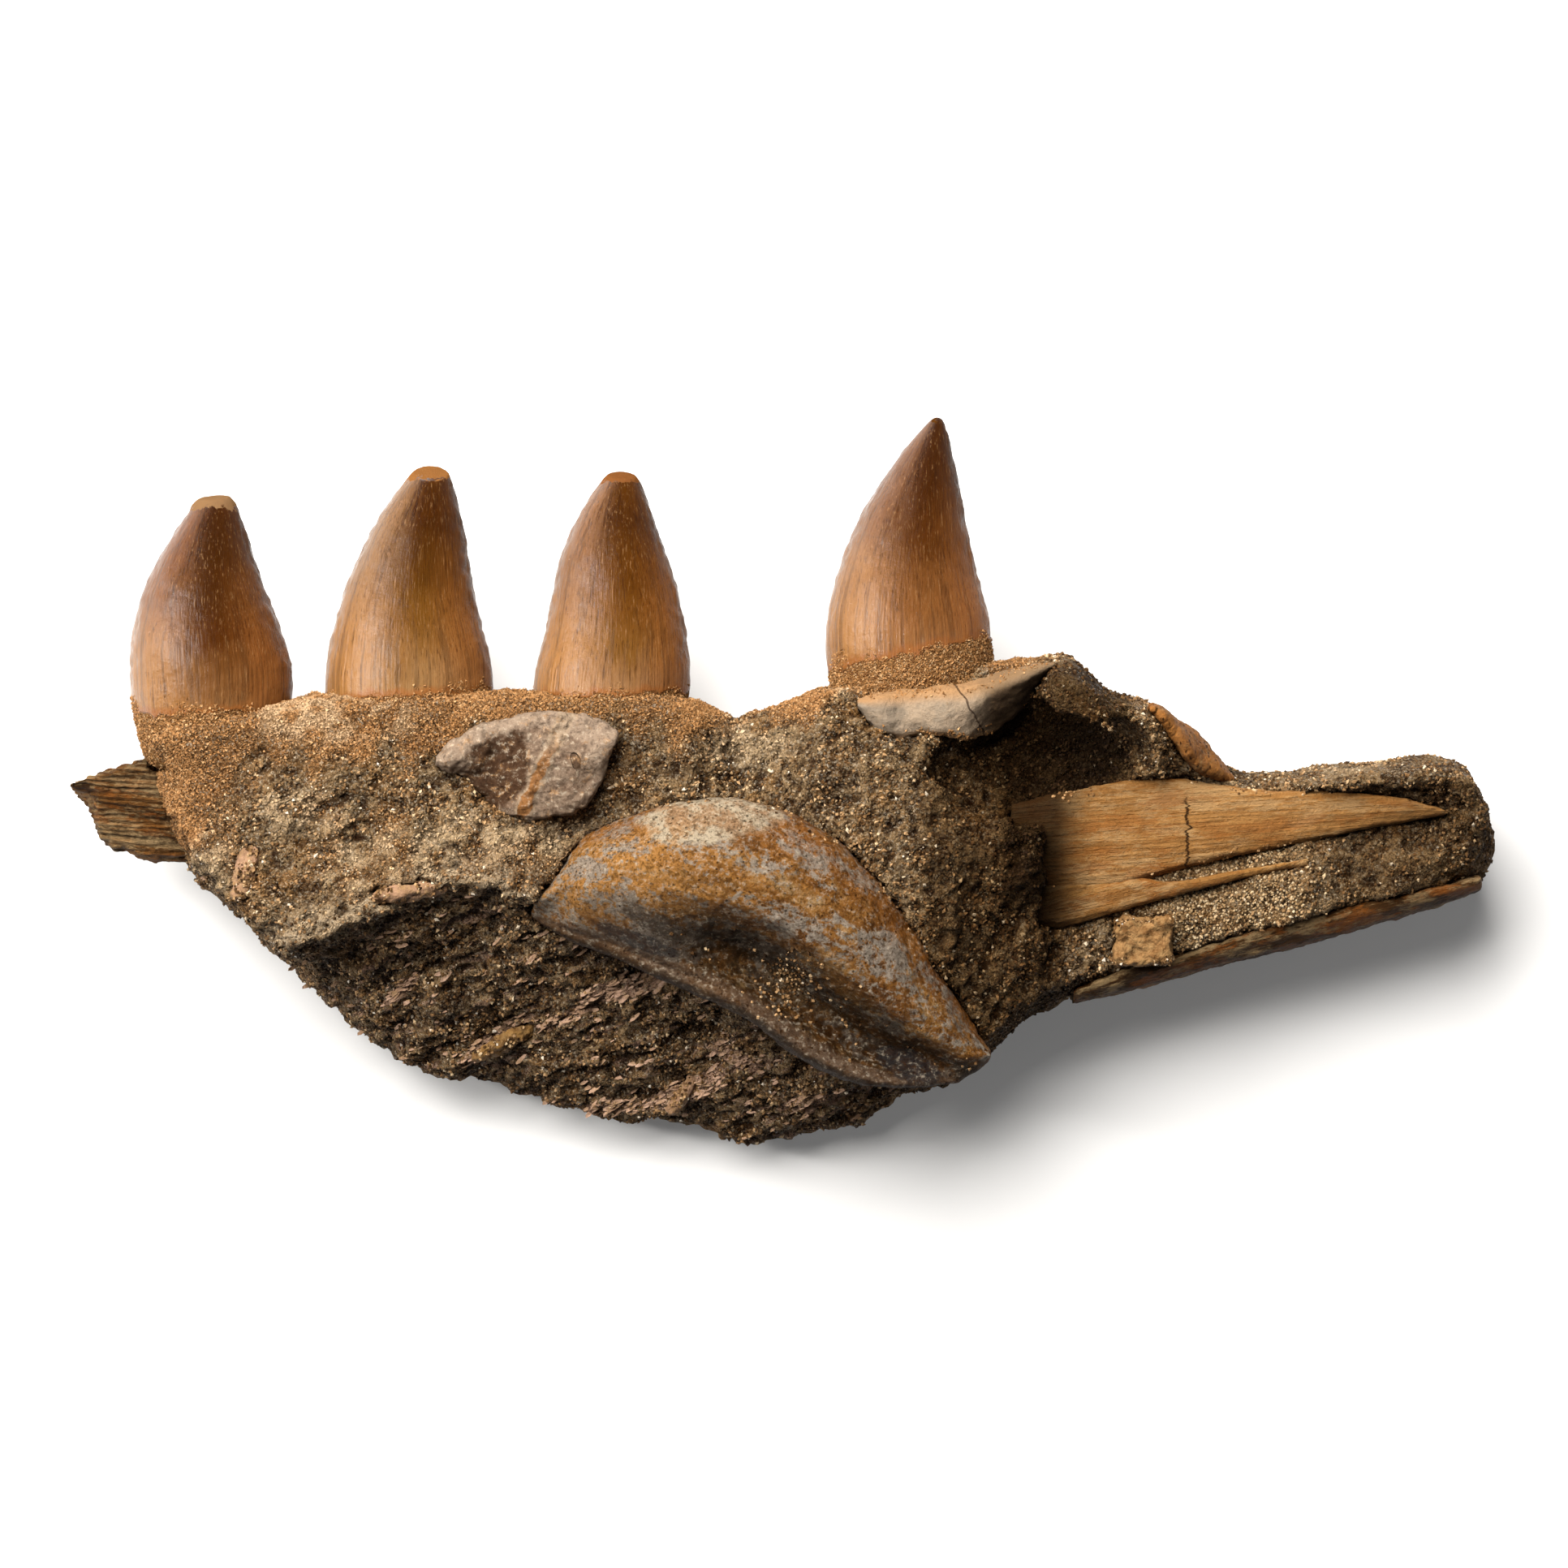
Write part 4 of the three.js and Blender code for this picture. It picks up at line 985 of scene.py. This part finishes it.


# Teeth. facet gives the worn flat at a tip: how far below the tip it starts in mm, then its
# lean to the right and towards the show side, in degrees. stops colour the crown from its base up.
# The paler colour given for each tooth is painted sheen on its left side.
TEETH = {
    "tooth_1": dict(
        gum=12.4, tip=49.8, tip_colour="7f6041", tip_start=0.93, gum_tilt=0.01, painted_sheen_colour="6f4526",
        facet=(0.8, -5, 12),
        stops=(
            (0.0, "7d5835"), (0.08, "78502c"), (0.18, "613c1b"), (0.3, "492507"), (0.52, "3c1e05"),
            (0.76, "341903"), (0.95, "371a04"),
        ),
    ),
    "tooth_2": dict(
        gum=15.2, tip=54.6, tip_colour="83572e", tip_start=0.94, gum_tilt=0.02, painted_sheen_colour="805c38",
        facet=(1.3, 5, 28),
        stops=(
            (0.03, "8f6a42"), (0.21, "775127"), (0.35, "643f14"), (0.49, "53310b"), (0.78, "3a1c04"),
            (0.95, "432306"),
        ),
    ),
    "tooth_3": dict(
        gum=15.6, tip=53.4, tip_colour="774a26", tip_start=0.965, gum_tilt=0.01, painted_sheen_colour="7b5331",
        facet=(1.0, 4, 20),
        stops=(
            (0.02, "8f6844"), (0.2, "704a1f"), (0.35, "653e15"), (0.5, "57310a"), (0.78, "3f2005"),
            (0.95, "4a2806"),
        ),
    ),
    "tooth_4": dict(
        gum=22.6, tip=62.7, tip_colour="513011", tip_start=0.985, gum_tilt=0.07, painted_sheen_colour="704a2d",
        facet=(0, 0, 0),
        stops=(
            (0.0, "8c6446"), (0.055, "875a34"), (0.21, "764a24"), (0.47, "4c280a"), (0.75, "3b1d06"),
            (0.96, "3b1e07"),
        ),
    ),
}


def ground_flat(tooth, below, lean, forward):
    """Wears a tooth's tip down to a flat that faces away from its gum."""
    lean, forward = math.radians(lean), math.radians(forward)
    away = np.array([
        math.sin(lean) * math.cos(forward), math.cos(lean) * math.cos(forward), math.sin(forward),
    ])
    points = corners(tooth)
    over = points @ away
    over -= over.max() - below
    move_to(tooth, points - np.maximum(over, 0)[:, None] * away * WORN_AWAY)


def make_tooth(name, gum, tip, tip_colour, tip_start, gum_tilt, painted_sheen_colour, facet, stops):
    """A tooth with ragged keels, a rough root, a worn tip and sand around its neck; sizes in mm."""
    tooth = copy_of(f"{name}_crown_and_root", name)
    apply(tooth, "SUBSURF", levels=3, render_levels=3)
    swollen(tooth, 0.28)
    lay_out(tooth, 90)
    height = corners(tooth)[:, 1]
    across = -stored(tooth, "across")
    weigh(tooth, "keels", soft(np.abs(across), 0.8, 0.99) * soft(height, gum + 2, gum + 6))
    weigh(tooth, "root", 1 - soft(height, gum - 1.5, gum + 0.5))
    ground_flat(tooth, *facet)
    lumpy(tooth, "CLOUDS", 1.9, 0.7, within="keels")
    lumpy(tooth, "CLOUDS", 6.0, 0.45)
    lumpy(tooth, "CLOUDS", 0.8, 0.5, within="root")
    tooth.vertex_groups.clear()
    points = corners(tooth)
    share = (points[:, 1] - gum) / (tip - gum)
    keep(tooth, "across", across)
    keep(tooth, "along", share)
    skin = enamel(f"{name} enamel", stops, tip_colour, tip_start, gum_tilt, painted_sheen_colour)
    dressed(tooth, skin, "tooth", name)
    level = share - gum_tilt * across - 0.1 * cloudy(points, 5.0)
    collar = soft(-level, -0.012, 0.03) * soft(points[:, 2], 24, 30) * soft(level, -0.25, -0.15)
    gritted(tooth, f"sand_on_{name}", collar, "sand", 0.2, 8, 1.0, 3)


# Bones.
def bone_skin(name, cad_node, voxel, smooth, angle, layers, finish, slot):
    """A bone from its CAD node: remeshed, roughened by (size, height) layers, and finished."""
    bone = copy_of(name, cad_node)
    remeshed(bone, voxel, smooth)
    lay_out(bone, angle)
    for size, height in layers:
        lumpy(bone, "CLOUDS", size, height)
    return dressed(bone, finish, slot, cad_node)


def filled(bone):
    """Fills the curved bone's trough near its left end, where the dome runs on down to its lip."""
    points = corners(bone)
    along, across = stored(bone, "along"), stored(bone, "across")
    places = np.arange(4, 50, 2.0)
    ridge, lip = [
        [points[(np.abs(along - at) < 2) & (np.abs(across - side) < 0.08), 2].max() for at in places]
        for side in (0.0, -LIP)
    ]
    low, high = np.interp(along, places, lip), np.interp(along, places, ridge)
    dome = low + (high - low) * np.sin(np.clip((across + LIP) / LIP, 0, 1) * math.pi / 2)
    inside = soft(across, -LIP, -0.8) * (1 - soft(across, -0.05, 0.0)) * soft(facing(bone)[:, 2], 0, 0.2)
    rise = np.maximum(dome - points[:, 2], 0) * inside * soft(along, 3, 8) * (1 - soft(along, 18, 40))
    points[:, 2] += 0.9 * rise
    move_to(bone, points)


def grooved(bone, angle, spacing, depth):
    """Cuts fine uneven grooves that run at an angle from +X; sizes in mm."""
    points = corners(bone)
    lanes = lengthways(points, angle)[1] / spacing
    drift = 0.6 * cloudy(points * np.array([0.25, 1, 1]), 2.5)
    waves = np.sin(2 * math.pi * (lanes + drift)) + 0.5 * np.sin(2 * math.pi * (0.43 * lanes + 2 * drift))
    move_to(bone, points + facing(bone) * (depth * waves)[:, None])


def make_curved_bone():
    curved = bone_skin(
        "curved_bone_skin", "curved_bone", 0.55, 3, -18.95, ((6.0, 1.1), (1.6, 0.5)),
        stained_bone("stained bone"), "stained_bone",
    )
    filled(curved)
    points, across = corners(curved), stored(curved, "across")
    pit = np.exp(-((points[:, 0] - 0.5) ** 2 + (points[:, 1] + 34.5) ** 2) / 14)
    trough = np.exp(-((across + 0.45) / 0.25) ** 2) * soft(points[:, 0], -25, 0)
    rims = soft(across, 0.86, 0.97)
    strewn = np.clip(pit + (0.12 * trough + 0.4 * rims) * soft(cloudy(points, 5.0), 0.05, 0.3), 0, 1)
    strewn *= soft(facing(curved)[:, 2], 0, 0.3)
    gritted(curved, "grit_on_curved_bone", strewn, "crystal", 0.22, 3, 0.0, 7)


def make_jaw_plate():
    """The plate and the lower layer under it, with grit along their edges."""
    plate = bone_skin(
        "jaw_plate_skin", "jaw_bone_plate", 0.45, 2, 9, ((3.0, 0.4), (0.9, 0.22)),
        fibrous_bone("plate bone", "b4824a", "865729", 4, crack=69.2, painted_shadow_end=46), "fibrous_bone",
    )
    grooved(plate, 4, 1.1, 0.05)
    layer = bone_skin(
        "plate_splinter_skin", "plate_splinter", 0.35, 1, 14, ((3.0, 0.5), (0.9, 0.25)),
        fibrous_bone("lower layer bone", "ad7c44", "7a4e26", 12, painted_shadow_end=46), "fibrous_bone",
    )
    for bone, name in ((plate, "grit_on_plate"), (layer, "grit_on_splinter")):
        edges = soft(np.abs(stored(bone, "across")), 0.75, 1.0) * soft(cloudy(corners(bone), 6.0), -0.1, 0.2)
        gritted(bone, name, edges * soft(facing(bone)[:, 2], 0.2, 0.6), "bead", 0.25, 2.2, 0.3, 9)


def make_other_bones():
    bone_skin(
        "jaw_strip_skin", "jaw_bone_strip", 0.5, 2, 16, ((3.0, 0.7), (0.9, 0.35)),
        fibrous_bone("strip bone", "4c3117", "24160a", 15), "fibrous_bone",
    )
    splinter = bone_skin(
        "left_splinter_skin", "left_bone_splinter", 0.3, 1, -4, ((2.2, 0.6), (0.8, 0.3)),
        fibrous_bone("left splinter bone", "784f26", "291808", -4, lines_per_mm=1.3, relief=0.6, streak=0.9),
        "fibrous_bone",
    )
    grooved(splinter, -4, 0.95, 0.14)
    shoulder = bone_skin(
        "shoulder_bone_skin", "shoulder_bone", 0.4, 2, -42, ((3.0, 0.9), (1.0, 0.4)),
        porous_bone("shoulder bone", "b0743a", "80522a"), "fibrous_bone",
    )
    swollen(shoulder, 0.6)
    bone_skin(
        "broken_grey_bone", "grey_bone", 0.35, 1, 10, ((5.0, 1.8), (2.0, 0.7), (0.9, 0.3)),
        broken_grey_bone("broken grey bone"), "grey_bone",
    )
    socket = bone_skin(
        "socket_rim_bone", "socket_bone", 0.45, 3, 10, ((3.5, 0.9), (1.0, 0.3)),
        socket_rim_bone("socket bone"), "grey_bone",
    )
    edges = soft(np.abs(stored(socket, "across")), 0.5, 0.95) * soft(cloudy(corners(socket), 4.0), -0.2, 0.2)
    edges *= soft(facing(socket)[:, 2], 0, 0.4)
    gritted(socket, "sand_on_socket_bone", edges, "sand", 0.2, 6, 1.0, 13)


def make_chips():
    pink = chip_bone("pink chip", "a98469", "7f6046")
    tan = chip_bone("tan chip", "96703f", "6a4a2b")
    block = bone_skin(
        "small_bone_block_skin", "small_bone_block", 0.35, 8, 0, ((3.4, 2.6), (1.4, 0.8), (0.8, 0.5)),
        chip_bone("block bone", "a57d50", "6b4827"), "bone_chip",
    )
    rims = soft(np.abs(stored(block, "across")), 0.6, 0.95) * soft(cloudy(corners(block), 2.5), -0.2, 0.1)
    gritted(block, "grit_on_small_bone_block", rims, "pebble", 0.26, 5, 0.0, 19)
    for number, finish in ((1, pink), (2, tan), (3, pink), (4, pink)):
        name = f"bone_chip_{number}"
        chip = bone_skin(f"{name}_skin", name, 0.3, 0, 0, ((2.0, 1.4), (0.7, 0.5)), finish, "bone_chip")
        clumps = soft(cloudy(corners(chip), 2.0), -0.15, 0.15) * soft(facing(chip)[:, 2], 0, 0.4)
        gritted(chip, f"grit_on_{name}", clumps, "crystal", 0.22, 4, 0.0, 17)


# Stage.
def make_floor():
    bpy.ops.object.select_all(action="DESELECT")
    bpy.ops.mesh.primitive_plane_add(size=6, location=(0, 0, -0.2 * MM))
    floor = bpy.context.object
    floor.name = "pale_floor"
    made = bpy.data.materials.new("pale floor")
    made.use_nodes = True
    feed(made.node_tree, made.node_tree.nodes["Principled BSDF"].inputs, {
        "Base Color": (FLOOR_GREY, FLOOR_GREY, FLOOR_GREY, 1), "Roughness": 0.9,
        "Emission Color": (1, 1, 1, 1), "Emission Strength": FLOOR_GLOW,
    })
    floor.data.materials.append(made)


def area_light(name, side, size, power, warmth, mirrored):
    """A rectangle of light that faces the fossil; mirrored says whether glossy surfaces show it."""
    data = bpy.data.lights.new(name, "AREA")
    data.shape = "RECTANGLE"
    data.size, data.size_y = size
    data.energy = power * LIGHT
    data.color = warmth
    light = bpy.data.objects.new(name, data)
    bpy.context.scene.collection.objects.link(light)
    light.location = Vector(side).normalized() * LIGHT_DISTANCE
    light.rotation_euler = Vector(side).to_track_quat("Z", "Y").to_euler()
    light.visible_glossy = mirrored


def make_stage():
    make_floor()
    for name, facts in LIGHTS.items():
        area_light(name, *facts)
    scene = bpy.context.scene
    scene.world = scene.world or bpy.data.worlds.new("studio")
    scene.world.use_nodes = True
    sky = scene.world.node_tree
    feed(sky, sky.nodes["Background"].inputs, {"Color": (1, 1, 1, 1), "Strength": SKY * LIGHT})
    camera = bpy.data.cameras.new("camera")
    camera.lens = CAMERA_LENS
    camera.sensor_width = SENSOR
    camera.clip_end = 20
    holder = bpy.data.objects.new("camera", camera)
    holder.location = (0, 0, TOOTH_ROW_HEIGHT + PHOTO_WIDTH * CAMERA_LENS / SENSOR)
    scene.collection.objects.link(holder)
    scene.camera = holder
    scene.view_settings.view_transform = "Standard"


make_grains(make_rock())
for tooth_name, facts in TEETH.items():
    make_tooth(tooth_name, **facts)
make_curved_bone()
make_jaw_plate()
make_other_bones()
make_chips()
make_stage()

bpy.context.view_layer.update()
